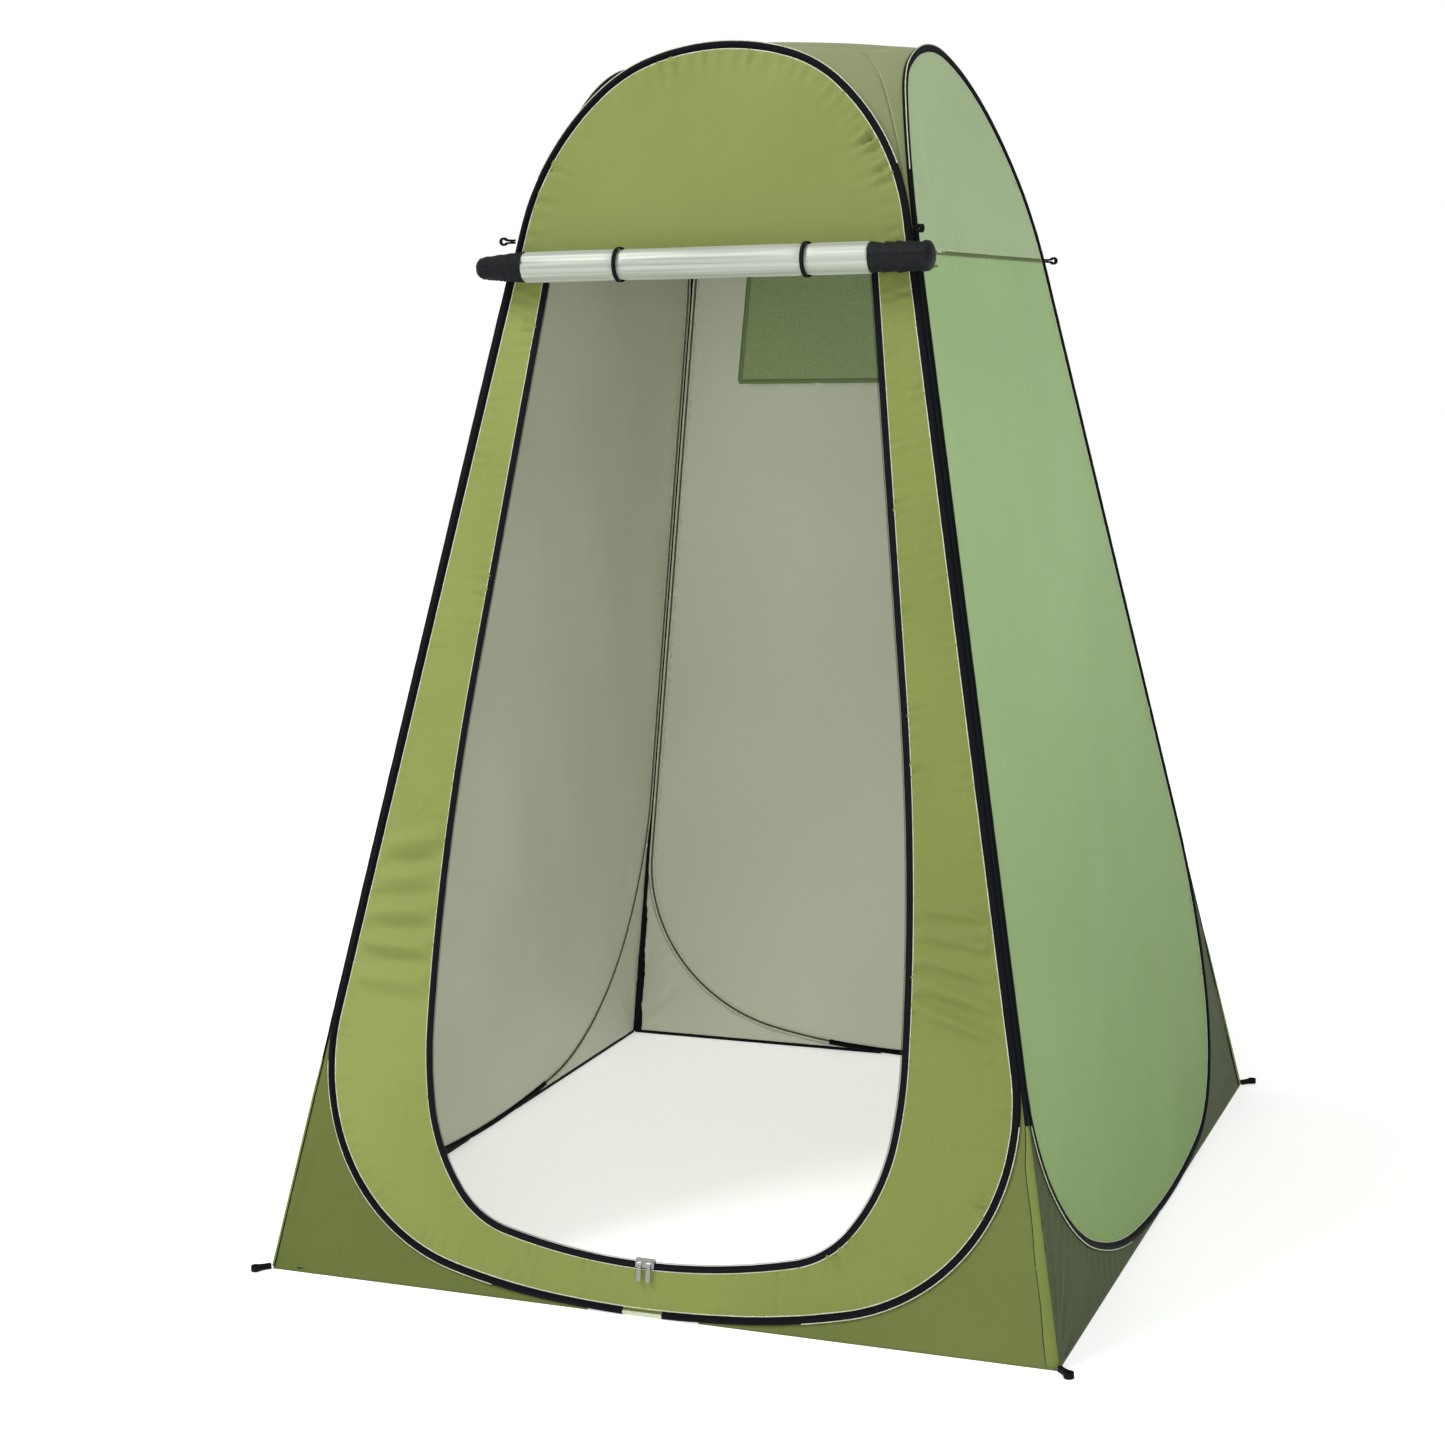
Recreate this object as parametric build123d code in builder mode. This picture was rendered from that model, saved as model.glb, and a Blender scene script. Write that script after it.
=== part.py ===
"""Pop-up privacy shower tent: four leaning hoop panels sewn along their corner edges.

Millimetres. Origin on the ground at the middle of the footprint, +Z up, doorway facing -Y.
Every panel is drawn in its own leaning plane: X across the panel as seen from outside,
Y up the slope from the ground line, Z outwards.
"""
from build123d import *
from math import atan2, cos, degrees, hypot, pi, radians, sin, tan
import os

os.makedirs("parts", exist_ok=True)

# ---- overall shape --------------------------------------------------------------------
HALF_WIDTH = 637.0        # ground corner to middle, along X
HALF_DEPTH = 731.0        # ground corner to middle, along Y
APEX = 3296.0             # height at which the four corner edges would meet
JUNCTION = 1571.0         # height at which neighbouring arches part
ROOF_HUB = 1892.0         # height of the roof's middle
END_SLOPE = hypot(APEX, HALF_DEPTH)
SIDE_SLOPE = hypot(APEX, HALF_WIDTH)

# ---- hoops ----------------------------------------------------------------------------
WIRE_R = 1.6              # spring-steel wire
FERRULE_R = 2.7           # crimped tube over the wire's two ends
FERRULE_BORE_R = 2.0
FERRULE_LENGTH = 46.0
SLEEVE_R = 4.5            # black binding rolled round the wire
SLEEVE_BORE_R = 3.3
EDGE_MARGIN = 7.1         # corner edge to the middle of the binding
BINDING_GAP = 62.0        # bare stretch at the bottom of the doorway hoop
SEAM_GAP = 1.0            # butt joint in the other three bindings
PATCH_R = 3.9             # pale cloth over the bare stretch

# ---- cloth ----------------------------------------------------------------------------
CLOTH = 1.2               # modelled thickness of a sheet
CLEAR = 0.4               # between sewn neighbours
HEM = 0.4                 # cloth edge above the ground line
EDGE_CLEAR = 2.5          # gusset to corner edge
GUSSET_TOP = 430.0        # the gussets' cusps end below this
CORD_R = 2.0              # seam cord along a corner edge

# ---- doorway --------------------------------------------------------------------------
DOOR_TOP = 1594.0
DOOR_BOTTOM = 77.0
# Tangent arcs (radius, degrees) of the doorway line from its bottom middle to one side.
DOOR_ARCS = [(1000, 13.5), (150, 38.5), (300, 28.0), (680, 10.0), (4200, 7.4)]
TAPE_WIDTH = 9.0
TAPE = 2.0
COIL_WIDTH = 2.6
COIL = 1.8

# ---- rolled door ----------------------------------------------------------------------
ROLL_R = 24.5
ROLL_OUT = 30.0           # roll's middle in front of the panel
ROLL_UP = 1594.0
ROLL_SILVER = (-292.0, 273.0)
ROLL_ENDS = (-377.0, 371.0)
END_CLEAR = 0.5
TIES = {"left": -133.0, "right": 172.0}
TIE_WIDTH = 6.5
TIE = 1.2
CURTAIN = (1573.0, 1592.0)
CURTAIN_HALF = 262.0

# ---- back window ----------------------------------------------------------------------
WINDOW_LOW = 1402.0
WINDOW_HIGH = 1598.0
WINDOW_HALF_LOW = 254.0
WINDOW_HALF_HIGH = 216.0
BINDING = 8.0
MESH = 0.8
FLAP_MARGIN = 12.0
FLAP_OUT = 2.0            # underside of the flap in front of the panel's middle
BACK_SEAM = 1618.0        # cross seam of the back panel
SIDE_SEAM = 1600.0        # cross seam of the side panels

# ---- small fittings -------------------------------------------------------------------
SLIDER = (12.0, 15.0)     # across the zip, along the zip
SLIDER_X = 7.6            # each slider's place beside the middle
PLATE = 2.0
PLATE_GAP = 3.6           # between the slider's two plates
PULL = (7.0, 27.0, 1.6)
PULL_EYE_R = 1.3
PULL_PIN_R = 1.25
STAKE_LOOP = (14.0, 32.0, 2.0)
STAKE_EYE_R = 4.0
GUY_LOOP = (12.0, 20.0, 2.0)
GUY_EYE_R = 2.8
FRONT_LOOP_LIFT = 33.0    # the front guy loops sit above the rolled door's ends

# ---- the four leaning planes ----------------------------------------------------------
PLANES = {
    "front": Plane((0, -HALF_DEPTH, 0), x_dir=(1, 0, 0), z_dir=(0, -APEX, HALF_DEPTH)),
    "right": Plane((HALF_WIDTH, 0, 0), x_dir=(0, 1, 0), z_dir=(APEX, 0, HALF_WIDTH)),
    "back": Plane((0, HALF_DEPTH, 0), x_dir=(-1, 0, 0), z_dir=(0, APEX, HALF_DEPTH)),
    "left": Plane((-HALF_WIDTH, 0, 0), x_dir=(0, -1, 0), z_dir=(-APEX, 0, HALF_WIDTH)),
}
HALF = {"front": HALF_WIDTH, "back": HALF_WIDTH, "right": HALF_DEPTH, "left": HALF_DEPTH}
SLOPE = {"front": END_SLOPE, "back": END_SLOPE, "right": SIDE_SLOPE, "left": SIDE_SLOPE}


def edge_x(name, up, margin):
    """Half width of a panel at a slope height, less a margin square to the corner edge."""
    half, slope = HALF[name], SLOPE[name]
    return half * (1 - up / slope) - margin * hypot(half, slope) / slope


# ---- hoop lines -----------------------------------------------------------------------
# Tangent arcs (radius, degrees) running right and left from the point that touches the
# ground, and from the crown. A last arc of found radius brings each run to its corner edge.
END_BOTTOM = [(1770, 4.9), (1135, 8.65), (308, 59.0)]
END_ARCH = [(364.5, 18.0), (231, 23.8)]
SIDE_BOTTOM_WIDE = [(2139, 6.46), (481, 4.51), (329.3, 62.0)]
SIDE_BOTTOM_TIGHT = [(2310, 6.6), (831, 17.0), (374, 34.2)]
SIDE_ARCH_WIDE = [(267, 11.7), (593, 22.4), (618, 13.8)]
SIDE_ARCH_TIGHT = [(340, 26.0), (130, 36.0)]
LEFT_ARCH = [(283.5, 19.1), (310, 24.4)]
END_HOOP = {"touch": (0, 4.6), "crown": (0, 1941.5),
            "bottom": (END_BOTTOM, END_BOTTOM), "arch": (END_ARCH, END_ARCH)}
SIDE_HOOP = {"touch": (61, 4.6), "crown": (-80, 1930.5),
             "bottom": (SIDE_BOTTOM_WIDE, SIDE_BOTTOM_TIGHT),
             "arch": (SIDE_ARCH_WIDE, SIDE_ARCH_TIGHT)}
HOOPS = {"front": END_HOOP, "back": END_HOOP, "right": SIDE_HOOP,
         "left": {"touch": (-61, 4.6), "crown": (0, 1928.0),
                  "bottom": SIDE_HOOP["bottom"][::-1], "arch": (LEFT_ARCH, LEFT_ARCH)}}


def run(name, start, arcs, turn):
    """Tangent arcs from a level start to the right-hand corner edge of a panel."""
    half, slope = HALF[name], SLOPE[name]
    lean = atan2(half, slope)
    total = pi / 2 + turn * lean
    normal = Vector(cos(lean), sin(lean))
    reach = half * cos(lean) - EDGE_MARGIN
    point, heading, edges = Vector(*start), 0.0, []
    for radius, size in arcs:
        edges.append(JernArc(point, (cos(heading), sin(heading)), radius, turn * size))
        point = edges[-1] @ 1
        heading += turn * radians(size)
    stop = turn * total
    step = turn * Vector(sin(stop) - sin(heading), cos(heading) - cos(stop))
    radius = (reach - normal.dot(point)) / normal.dot(step)
    last = JernArc(point, (cos(heading), sin(heading)), radius, degrees(stop - heading))
    return edges + [last]


def hoop_edges(name, gap=0.0):
    """Hoop line of a panel, drawn flat; open by a gap at the ground if one is given."""
    hoop, halves = HOOPS[name], []
    for side, sign in ((0, 1), (1, -1)):
        touch = (sign * hoop["touch"][0], hoop["touch"][1])
        crown = (sign * hoop["crown"][0], hoop["crown"][1])
        bottom = run(name, touch, hoop["bottom"][side], 1)
        arch = run(name, crown, hoop["arch"][side], -1)
        upright = Line(bottom[-1] @ 1, arch[-1] @ 1)
        if gap:
            bottom[0] = bottom[0].trim(gap / 2 / bottom[0].length, 1)
        edges = bottom + [upright] + arch
        halves.append(edges if sign > 0 else [edge.mirror(Plane.YZ) for edge in edges])
    return halves[0] + halves[1]


def hoop_path(name, gap):
    """Hoop line in space, open by a gap where it touches the ground."""
    return PLANES[name].from_local_coords(Wire(hoop_edges(name, gap)))


def hoop_face(name, grow):
    """Area inside the hoop line, grown (or shrunk, if negative) all round."""
    with BuildSketch() as area:
        make_face(hoop_edges(name))
        offset(amount=grow)
    return area.sketch


def door_line():
    """Doorway line from its top right, round the bottom, to its top left."""
    point, heading, edges = Vector(0, DOOR_BOTTOM), 0.0, []
    for radius, size in DOOR_ARCS:
        edges.append(JernArc(point, (cos(heading), sin(heading)), radius, size))
        point = edges[-1] @ 1
        heading += radians(size)
    rise = DOOR_TOP - point.Y
    edges.append(Line(point, point + Vector(rise / tan(heading), rise)))
    return edges + [edge.mirror(Plane.YZ) for edge in edges]


def door_face(grow, top):
    """Doorway area grown all round and closed by a straight top."""
    with BuildSketch() as area:
        edges = door_line()
        ends = sorted([edge @ 1 for edge in edges], key=lambda p: p.Y)[-2:]
        make_face(edges + [Line(*ends)])
        offset(amount=grow)
        with Locations((0, top)):
            Rectangle(2 * HALF_WIDTH, HALF_WIDTH, align=(Align.CENTER, Align.MIN), mode=Mode.SUBTRACT)
    return area.sketch


def band_above(low):
    """Everything in a panel plane above a slope height."""
    with BuildSketch() as area:
        with Locations((0, low)):
            Rectangle(3 * HALF_DEPTH, HALF_DEPTH, align=(Align.CENTER, Align.MIN))
    return area.sketch


def band_below(high):
    """Everything in a panel plane below a slope height."""
    with BuildSketch() as area:
        with Locations((0, high)):
            Rectangle(3 * HALF_DEPTH, 3 * HALF_DEPTH, align=(Align.CENTER, Align.MAX))
    return area.sketch


def window_face(grow):
    """Trapezium of the back window, grown all round with square corners."""
    with BuildSketch() as area:
        with BuildLine():
            Polyline((-WINDOW_HALF_LOW, WINDOW_LOW), (WINDOW_HALF_LOW, WINDOW_LOW),
                     (WINDOW_HALF_HIGH, WINDOW_HIGH), (-WINDOW_HALF_HIGH, WINDOW_HIGH), close=True)
        make_face()
        offset(amount=grow, kind=Kind.INTERSECTION)
    return area.sketch


def shifted(name, out, up=0.0):
    """A panel's plane moved outwards and up its slope."""
    plane = PLANES[name]
    return Plane(plane.from_local_coords((0, up, out)), x_dir=plane.x_dir, z_dir=plane.z_dir)


# ---- hoops: wire, ferrule and binding --------------------------------------------------
for name in PLANES:
    gap = BINDING_GAP if name == "front" else SEAM_GAP

    path = hoop_path(name, SEAM_GAP)
    with BuildPart() as hoop_wire:
        with BuildSketch(Plane(path @ 0, z_dir=path % 0)):
            Circle(WIRE_R)
        sweep(path=path)
    hoop_wire.part.label = f"{name}_hoop_wire"
    export_step(hoop_wire.part, f"parts/{name}_hoop_wire.step")

    joint = (path @ 0 + path @ 1) / 2
    with BuildPart() as hoop_ferrule:
        with BuildSketch(Plane(joint, z_dir=PLANES[name].x_dir)):
            Circle(FERRULE_R)
            Circle(FERRULE_BORE_R, mode=Mode.SUBTRACT)
        extrude(amount=FERRULE_LENGTH / 2, both=True)
    hoop_ferrule.part.label = f"{name}_hoop_ferrule"
    export_step(hoop_ferrule.part, f"parts/{name}_hoop_ferrule.step")

    path = hoop_path(name, gap)
    with BuildPart() as hoop_sleeve:
        with BuildSketch(Plane(path @ 0, z_dir=path % 0)):
            Circle(SLEEVE_R)
            Circle(SLEEVE_BORE_R, mode=Mode.SUBTRACT)
        sweep(path=path)
    hoop_sleeve.part.label = f"{name}_hoop_sleeve"
    export_step(hoop_sleeve.part, f"parts/{name}_hoop_sleeve.step")

# Pale cloth tube over the bare stretch of the doorway hoop.
touch = PLANES["front"].from_local_coords(END_HOOP["touch"])
with BuildPart() as front_sleeve_patch:
    with BuildSketch(Plane(touch, z_dir=(1, 0, 0))):
        Circle(PATCH_R)
        Circle(SLEEVE_BORE_R, mode=Mode.SUBTRACT)
    extrude(amount=BINDING_GAP / 2 - CLEAR, both=True)
front_sleeve_patch.part.label = "front_sleeve_patch"
export_step(front_sleeve_patch.part, "parts/front_sleeve_patch.step")

# ---- panels inside the hoops -----------------------------------------------------------
for name, seam in (("right", SIDE_SEAM), ("left", SIDE_SEAM), ("back", BACK_SEAM)):
    with BuildPart() as upper_panel:
        with BuildSketch(PLANES[name]):
            add(hoop_face(name, -SLEEVE_R - CLEAR))
            add(band_above(seam + CLEAR / 2), mode=Mode.INTERSECT)
        extrude(amount=CLOTH / 2, both=True)
    upper_panel.part.label = f"{name}_upper_panel"
    export_step(upper_panel.part, f"parts/{name}_upper_panel.step")

    with BuildPart() as lower_panel:
        with BuildSketch(PLANES[name]):
            add(hoop_face(name, -SLEEVE_R - CLEAR))
            add(band_below(seam - CLEAR / 2), mode=Mode.INTERSECT)
            if name == "back":
                add(window_face(BINDING + CLEAR), mode=Mode.SUBTRACT)
        extrude(amount=CLOTH / 2, both=True)
    lower_panel.part.label = f"{name}_lower_panel"
    export_step(lower_panel.part, f"parts/{name}_lower_panel.step")

with BuildPart() as front_header:
    with BuildSketch(PLANES["front"]):
        add(hoop_face("front", -SLEEVE_R - CLEAR))
        add(band_above(DOOR_TOP + CLEAR / 2), mode=Mode.INTERSECT)
    extrude(amount=CLOTH / 2, both=True)
front_header.part.label = "front_header"
export_step(front_header.part, "parts/front_header.step")

with BuildPart() as front_surround:
    with BuildSketch(PLANES["front"]):
        add(hoop_face("front", -SLEEVE_R - CLEAR))
        add(band_below(DOOR_TOP - CLEAR / 2), mode=Mode.INTERSECT)
        add(door_face(TAPE_WIDTH / 2 + CLEAR, DOOR_TOP + CLOTH), mode=Mode.SUBTRACT)
    extrude(amount=CLOTH / 2, both=True)
front_surround.part.label = "front_surround"
export_step(front_surround.part, "parts/front_surround.step")

# ---- zip round the doorway --------------------------------------------------------------
with BuildPart() as door_zip_tape:
    with BuildSketch(PLANES["front"]):
        add(door_face(TAPE_WIDTH / 2, DOOR_TOP - CLEAR))
        add(door_face(-TAPE_WIDTH / 2, DOOR_TOP), mode=Mode.SUBTRACT)
        with Locations((0, DOOR_TOP)):
            Rectangle(2 * CURTAIN_HALF - 4 * TAPE_WIDTH, 2 * TAPE_WIDTH, mode=Mode.SUBTRACT)
    extrude(amount=TAPE / 2, both=True)
door_zip_tape.part.label = "door_zip_tape"
export_step(door_zip_tape.part, "parts/door_zip_tape.step")

with BuildPart() as door_zip_coil:
    with BuildSketch(PLANES["front"]):
        add(door_face(-TAPE_WIDTH / 2 - CLEAR, DOOR_TOP - 2 * TAPE_WIDTH))
        add(door_face(-TAPE_WIDTH / 2 - CLEAR - COIL_WIDTH, DOOR_TOP), mode=Mode.SUBTRACT)
    extrude(amount=COIL / 2, both=True)
door_zip_coil.part.label = "door_zip_coil"
export_step(door_zip_coil.part, "parts/door_zip_coil.step")

# Each slider wraps the coil: two plates bridged on the open side of the zip, and a pin
# on its face that carries the pull.
coil_low = DOOR_BOTTOM + TAPE_WIDTH / 2 + CLEAR
coil_high = coil_low + COIL_WIDTH
pin_up = coil_low - 2.0
pin_out = PLATE_GAP / 2 + PLATE + 2.4
for side, x in (("left", -SLIDER_X), ("right", SLIDER_X)):
    with BuildPart() as zip_slider:
        with BuildSketch(shifted("front", 0)):
            with Locations((x, coil_high + CLEAR)):
                Rectangle(SLIDER[1], SLIDER[0], align=(Align.CENTER, Align.MAX))
        extrude(amount=PLATE_GAP / 2 + PLATE, both=True)
        with BuildSketch(shifted("front", 0)):
            with Locations((x, coil_high + CLEAR)):
                Rectangle(SLIDER[1], SLIDER[0], align=(Align.CENTER, Align.MAX))
        extrude(amount=PLATE_GAP / 2, both=True, mode=Mode.SUBTRACT)
        with BuildSketch(shifted("front", 0)):
            with Locations((x, coil_high + CLEAR)):
                Rectangle(SLIDER[1], PLATE, align=(Align.CENTER, Align.MIN))
        extrude(amount=PLATE_GAP / 2 + PLATE, both=True)
        with BuildSketch(shifted("front", PLATE_GAP / 2 + PLATE)):
            with Locations((x - 4.0, pin_up), (x + 4.0, pin_up)):
                Rectangle(1.6, 4.0)
        extrude(amount=2.4 + PULL_PIN_R)
        pin = Plane(PLANES["front"].from_local_coords((x, pin_up, pin_out)), z_dir=(1, 0, 0))
        with BuildSketch(pin):
            Circle(PULL_PIN_R)
        extrude(amount=4.0, both=True)
    zip_slider.part.label = f"zip_slider_{side}"
    export_step(zip_slider.part, f"parts/zip_slider_{side}.step")

    with BuildPart() as zip_pull:
        with BuildSketch(pin):
            Circle(PULL_EYE_R + 1.0)
        extrude(amount=2.8, both=True)
        with BuildSketch(shifted("front", pin_out - PULL[2] / 2)):
            with Locations((x, pin_up)):
                Rectangle(5.6, PULL[1] / 2, align=(Align.CENTER, Align.MAX))
            with Locations((x, pin_up - PULL[1] * 0.65)):
                RectangleRounded(PULL[0], PULL[1] * 0.7, 2.4)
        extrude(amount=PULL[2])
        with BuildSketch(pin):
            Circle(PULL_EYE_R)
        extrude(amount=SLIDER[0], both=True, mode=Mode.SUBTRACT)
    zip_pull.part.label = f"zip_pull_{side}"
    export_step(zip_pull.part, f"parts/zip_pull_{side}.step")

# ---- rolled door under the header -------------------------------------------------------
roll_plane = Plane(PLANES["front"].from_local_coords((0, ROLL_UP, ROLL_OUT)), z_dir=(1, 0, 0))
with BuildPart() as door_roll:
    with BuildSketch(roll_plane.offset(ROLL_SILVER[0])):
        Circle(ROLL_R)
    extrude(amount=ROLL_SILVER[1] - ROLL_SILVER[0])
door_roll.part.label = "door_roll"
export_step(door_roll.part, "parts/door_roll.step")

with BuildPart() as roll_end_left:
    with BuildSketch(roll_plane.offset(ROLL_SILVER[0] - END_CLEAR)):
        Circle(ROLL_R - 2.0)
    with BuildSketch(roll_plane.offset(ROLL_SILVER[0] - 40.0)):
        Circle(ROLL_R - 4.0)
    with BuildSketch(roll_plane.offset(ROLL_ENDS[0])):
        Circle(ROLL_R - 9.0)
    loft()
    fillet(roll_end_left.faces().sort_by(Axis.X)[0].edges(), 9.0)
roll_end_left.part.label = "roll_end_left"
export_step(roll_end_left.part, "parts/roll_end_left.step")

with BuildPart() as roll_end_right:
    with BuildSketch(roll_plane.offset(ROLL_SILVER[1] + END_CLEAR)):
        Circle(ROLL_R - 1.5)
    extrude(amount=ROLL_ENDS[1] - ROLL_SILVER[1] - END_CLEAR)
    fillet(roll_end_right.faces().sort_by(Axis.X)[-1].edges(), 8.0)
roll_end_right.part.label = "roll_end_right"
export_step(roll_end_right.part, "parts/roll_end_right.step")

# Gathered top of the door between the header and the roll.
with BuildPart() as door_curtain:
    with BuildSketch(shifted("front", CLOTH / 2 + CLEAR + TAPE / 2)):
        with Locations((0, CURTAIN[0])):
            Rectangle(2 * CURTAIN_HALF, CURTAIN[1] - CURTAIN[0], align=(Align.CENTER, Align.MIN))
    extrude(amount=CLOTH)
door_curtain.part.label = "door_curtain"
export_step(door_curtain.part, "parts/door_curtain.step")

for side, x in TIES.items():
    with BuildPart() as tie_loop:
        with BuildSketch(roll_plane.offset(x)):
            Circle(ROLL_R + CLEAR + TIE)
            Circle(ROLL_R + CLEAR, mode=Mode.SUBTRACT)
        extrude(amount=TIE_WIDTH / 2, both=True)
        with BuildSketch(shifted("front", CLOTH / 2 + CLEAR / 2)):
            with Locations((x, DOOR_TOP + 8.0)):
                Rectangle(TIE_WIDTH, 12.0)
        extrude(until=Until.NEXT)
    tie_loop.part.label = f"tie_loop_{side}"
    export_step(tie_loop.part, f"parts/tie_loop_{side}.step")

# ---- back window ------------------------------------------------------------------------
with BuildPart() as window_mesh:
    with BuildSketch(PLANES["back"]):
        add(window_face(-CLEAR))
    extrude(amount=MESH / 2, both=True)
window_mesh.part.label = "window_mesh"
export_step(window_mesh.part, "parts/window_mesh.step")

with BuildPart() as window_binding:
    with BuildSketch(PLANES["back"]):
        add(window_face(BINDING))
        add(window_face(0), mode=Mode.SUBTRACT)
    extrude(amount=TAPE / 2, both=True)
window_binding.part.label = "window_binding"
export_step(window_binding.part, "parts/window_binding.step")

with BuildPart() as window_flap:
    with BuildSketch(shifted("back", FLAP_OUT)):
        add(window_face(FLAP_MARGIN))
    extrude(amount=CLOTH)
window_flap.part.label = "window_flap"
export_step(window_flap.part, "parts/window_flap.step")

# ---- gussets below the hoops --------------------------------------------------------------
TOUCH_X = {"front": 0.0, "back": 0.0, "right": 61.0, "left": -61.0}
TOUCH_CLEAR = 130.0
for name in PLANES:
    around = hoop_face(name, SLEEVE_R + CLEAR)
    for side, sign in (("left", -1), ("right", 1)):
        inner = TOUCH_X[name] + sign * TOUCH_CLEAR
        corner = sign * edge_x(name, HEM, EDGE_CLEAR)
        tip = sign * edge_x(name, GUSSET_TOP, EDGE_CLEAR)
        with BuildPart() as gusset:
            with BuildSketch(PLANES[name]):
                with BuildLine():
                    Polyline((inner, HEM), (corner, HEM), (tip, GUSSET_TOP), (inner, GUSSET_TOP), close=True)
                make_face()
                add(around, mode=Mode.SUBTRACT)
            extrude(amount=CLOTH / 2, both=True)
        gusset.part.label = f"{name}_gusset_{side}"
        export_step(gusset.part, f"parts/{name}_gusset_{side}.step")

# ---- roof quarters: straight threads from each arch to the hub ------------------------------
HUB_STEP = 2.5
for name, plane in PLANES.items():
    out = Vector(plane.z_dir.X, plane.z_dir.Y, 0).normalized()
    hub = Vector(0, 0, ROOF_HUB) + out * HUB_STEP
    base_up = JUNCTION * SLOPE[name] / APEX
    with BuildPart() as roof_quarter:
        with BuildSketch(shifted(name, -SLEEVE_R - CLEAR)) as base:
            add(hoop_face(name, 0))
            add(band_above(base_up), mode=Mode.INTERSECT)
        loft(sections=[base.sketch.face(), Vertex(*hub)])
        down = plane.y_dir * -CLOTH
        with BuildSketch(shifted(name, -SLEEVE_R - CLEAR, -CLOTH)) as lower_base:
            add(hoop_face(name, 0))
            add(band_above(base_up - 2 * CLOTH), mode=Mode.INTERSECT)
        loft(sections=[lower_base.sketch.face(), Vertex(*(hub + down))], mode=Mode.SUBTRACT)
    roof_quarter.part.label = f"roof_{name}"
    export_step(roof_quarter.part, f"parts/roof_{name}.step")

# ---- corners: seam cord, stake loop at the ground, guy loop at the junction -------------------
CORNERS = {"front_left": (-1, -1), "front_right": (1, -1), "back_right": (1, 1), "back_left": (-1, 1)}
CORD_ENDS = (6.0, JUNCTION - 8.0)
for corner, (sx, sy) in CORNERS.items():
    foot = Vector(sx * HALF_WIDTH, sy * HALF_DEPTH, 0)
    apex = Vector(0, 0, APEX)
    low, high = [foot + (apex - foot) * (z / APEX) for z in CORD_ENDS]
    with BuildPart() as corner_seam:
        with BuildSketch(Plane(low, z_dir=high - low)):
            Circle(CORD_R)
        extrude(amount=(high - low).length)
    corner_seam.part.label = f"corner_seam_{corner}"
    export_step(corner_seam.part, f"parts/corner_seam_{corner}.step")

    outward = Vector(sx, sy, 0).normalized()
    with BuildPart() as stake_loop:
        with BuildSketch(Plane(foot + outward * 4.0, x_dir=outward, z_dir=(0, 0, 1))):
            with Locations((STAKE_LOOP[1] / 2, 0)):
                RectangleRounded(STAKE_LOOP[1], STAKE_LOOP[0], 5.0)
            with Locations((STAKE_LOOP[1] - STAKE_LOOP[0] / 2 - 2.0, 0)):
                Circle(STAKE_EYE_R, mode=Mode.SUBTRACT)
        extrude(amount=STAKE_LOOP[2])
    stake_loop.part.label = f"stake_loop_{corner}"
    export_step(stake_loop.part, f"parts/stake_loop_{corner}.step")

    loop_up = JUNCTION + (FRONT_LOOP_LIFT if sy < 0 else 0)
    top = foot + (apex - foot) * (loop_up / APEX)
    with BuildPart() as guy_loop:
        with BuildSketch(Plane(top + outward * 8.0, x_dir=outward, z_dir=(-sy, sx, 0))):
            with Locations((GUY_LOOP[1] / 2, 0)):
                RectangleRounded(GUY_LOOP[1], GUY_LOOP[0], 4.0)
            with Locations((GUY_LOOP[1] - GUY_LOOP[0] / 2 - 1.0, 0)):
                Circle(GUY_EYE_R, mode=Mode.SUBTRACT)
        extrude(amount=GUY_LOOP[2] / 2, both=True)
    guy_loop.part.label = f"guy_loop_{corner}"
    export_step(guy_loop.part, f"parts/guy_loop_{corner}.step")
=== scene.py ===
from math import atan2, ceil, cos, hypot, pi, radians, sin, tan

import bpy
import numpy as np
from mathutils import Matrix, Vector, geometry, kdtree


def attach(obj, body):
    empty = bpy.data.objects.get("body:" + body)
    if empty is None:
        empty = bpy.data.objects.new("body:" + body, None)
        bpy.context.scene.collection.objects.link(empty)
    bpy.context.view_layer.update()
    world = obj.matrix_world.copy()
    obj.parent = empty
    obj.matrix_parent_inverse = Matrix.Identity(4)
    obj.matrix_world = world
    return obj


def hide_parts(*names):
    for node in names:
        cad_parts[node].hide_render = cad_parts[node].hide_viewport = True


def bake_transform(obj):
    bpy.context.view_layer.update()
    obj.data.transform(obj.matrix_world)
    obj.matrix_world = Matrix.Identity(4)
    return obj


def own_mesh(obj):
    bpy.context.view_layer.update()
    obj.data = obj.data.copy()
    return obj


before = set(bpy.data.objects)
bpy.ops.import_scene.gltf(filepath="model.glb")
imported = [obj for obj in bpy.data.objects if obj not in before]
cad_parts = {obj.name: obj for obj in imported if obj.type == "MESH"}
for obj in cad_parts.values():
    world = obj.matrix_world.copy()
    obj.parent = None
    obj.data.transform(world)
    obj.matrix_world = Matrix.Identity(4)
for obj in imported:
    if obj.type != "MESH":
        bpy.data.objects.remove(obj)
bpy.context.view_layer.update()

MM = 0.001

# ---- camera ----
CAMERA_AT = (1.462, -4.106, 1.456)
CAMERA_YAW, CAMERA_PITCH, CAMERA_ROLL = radians(21.30), radians(8.62), radians(-1.03)
CAMERA_LENS = 64.03


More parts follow.
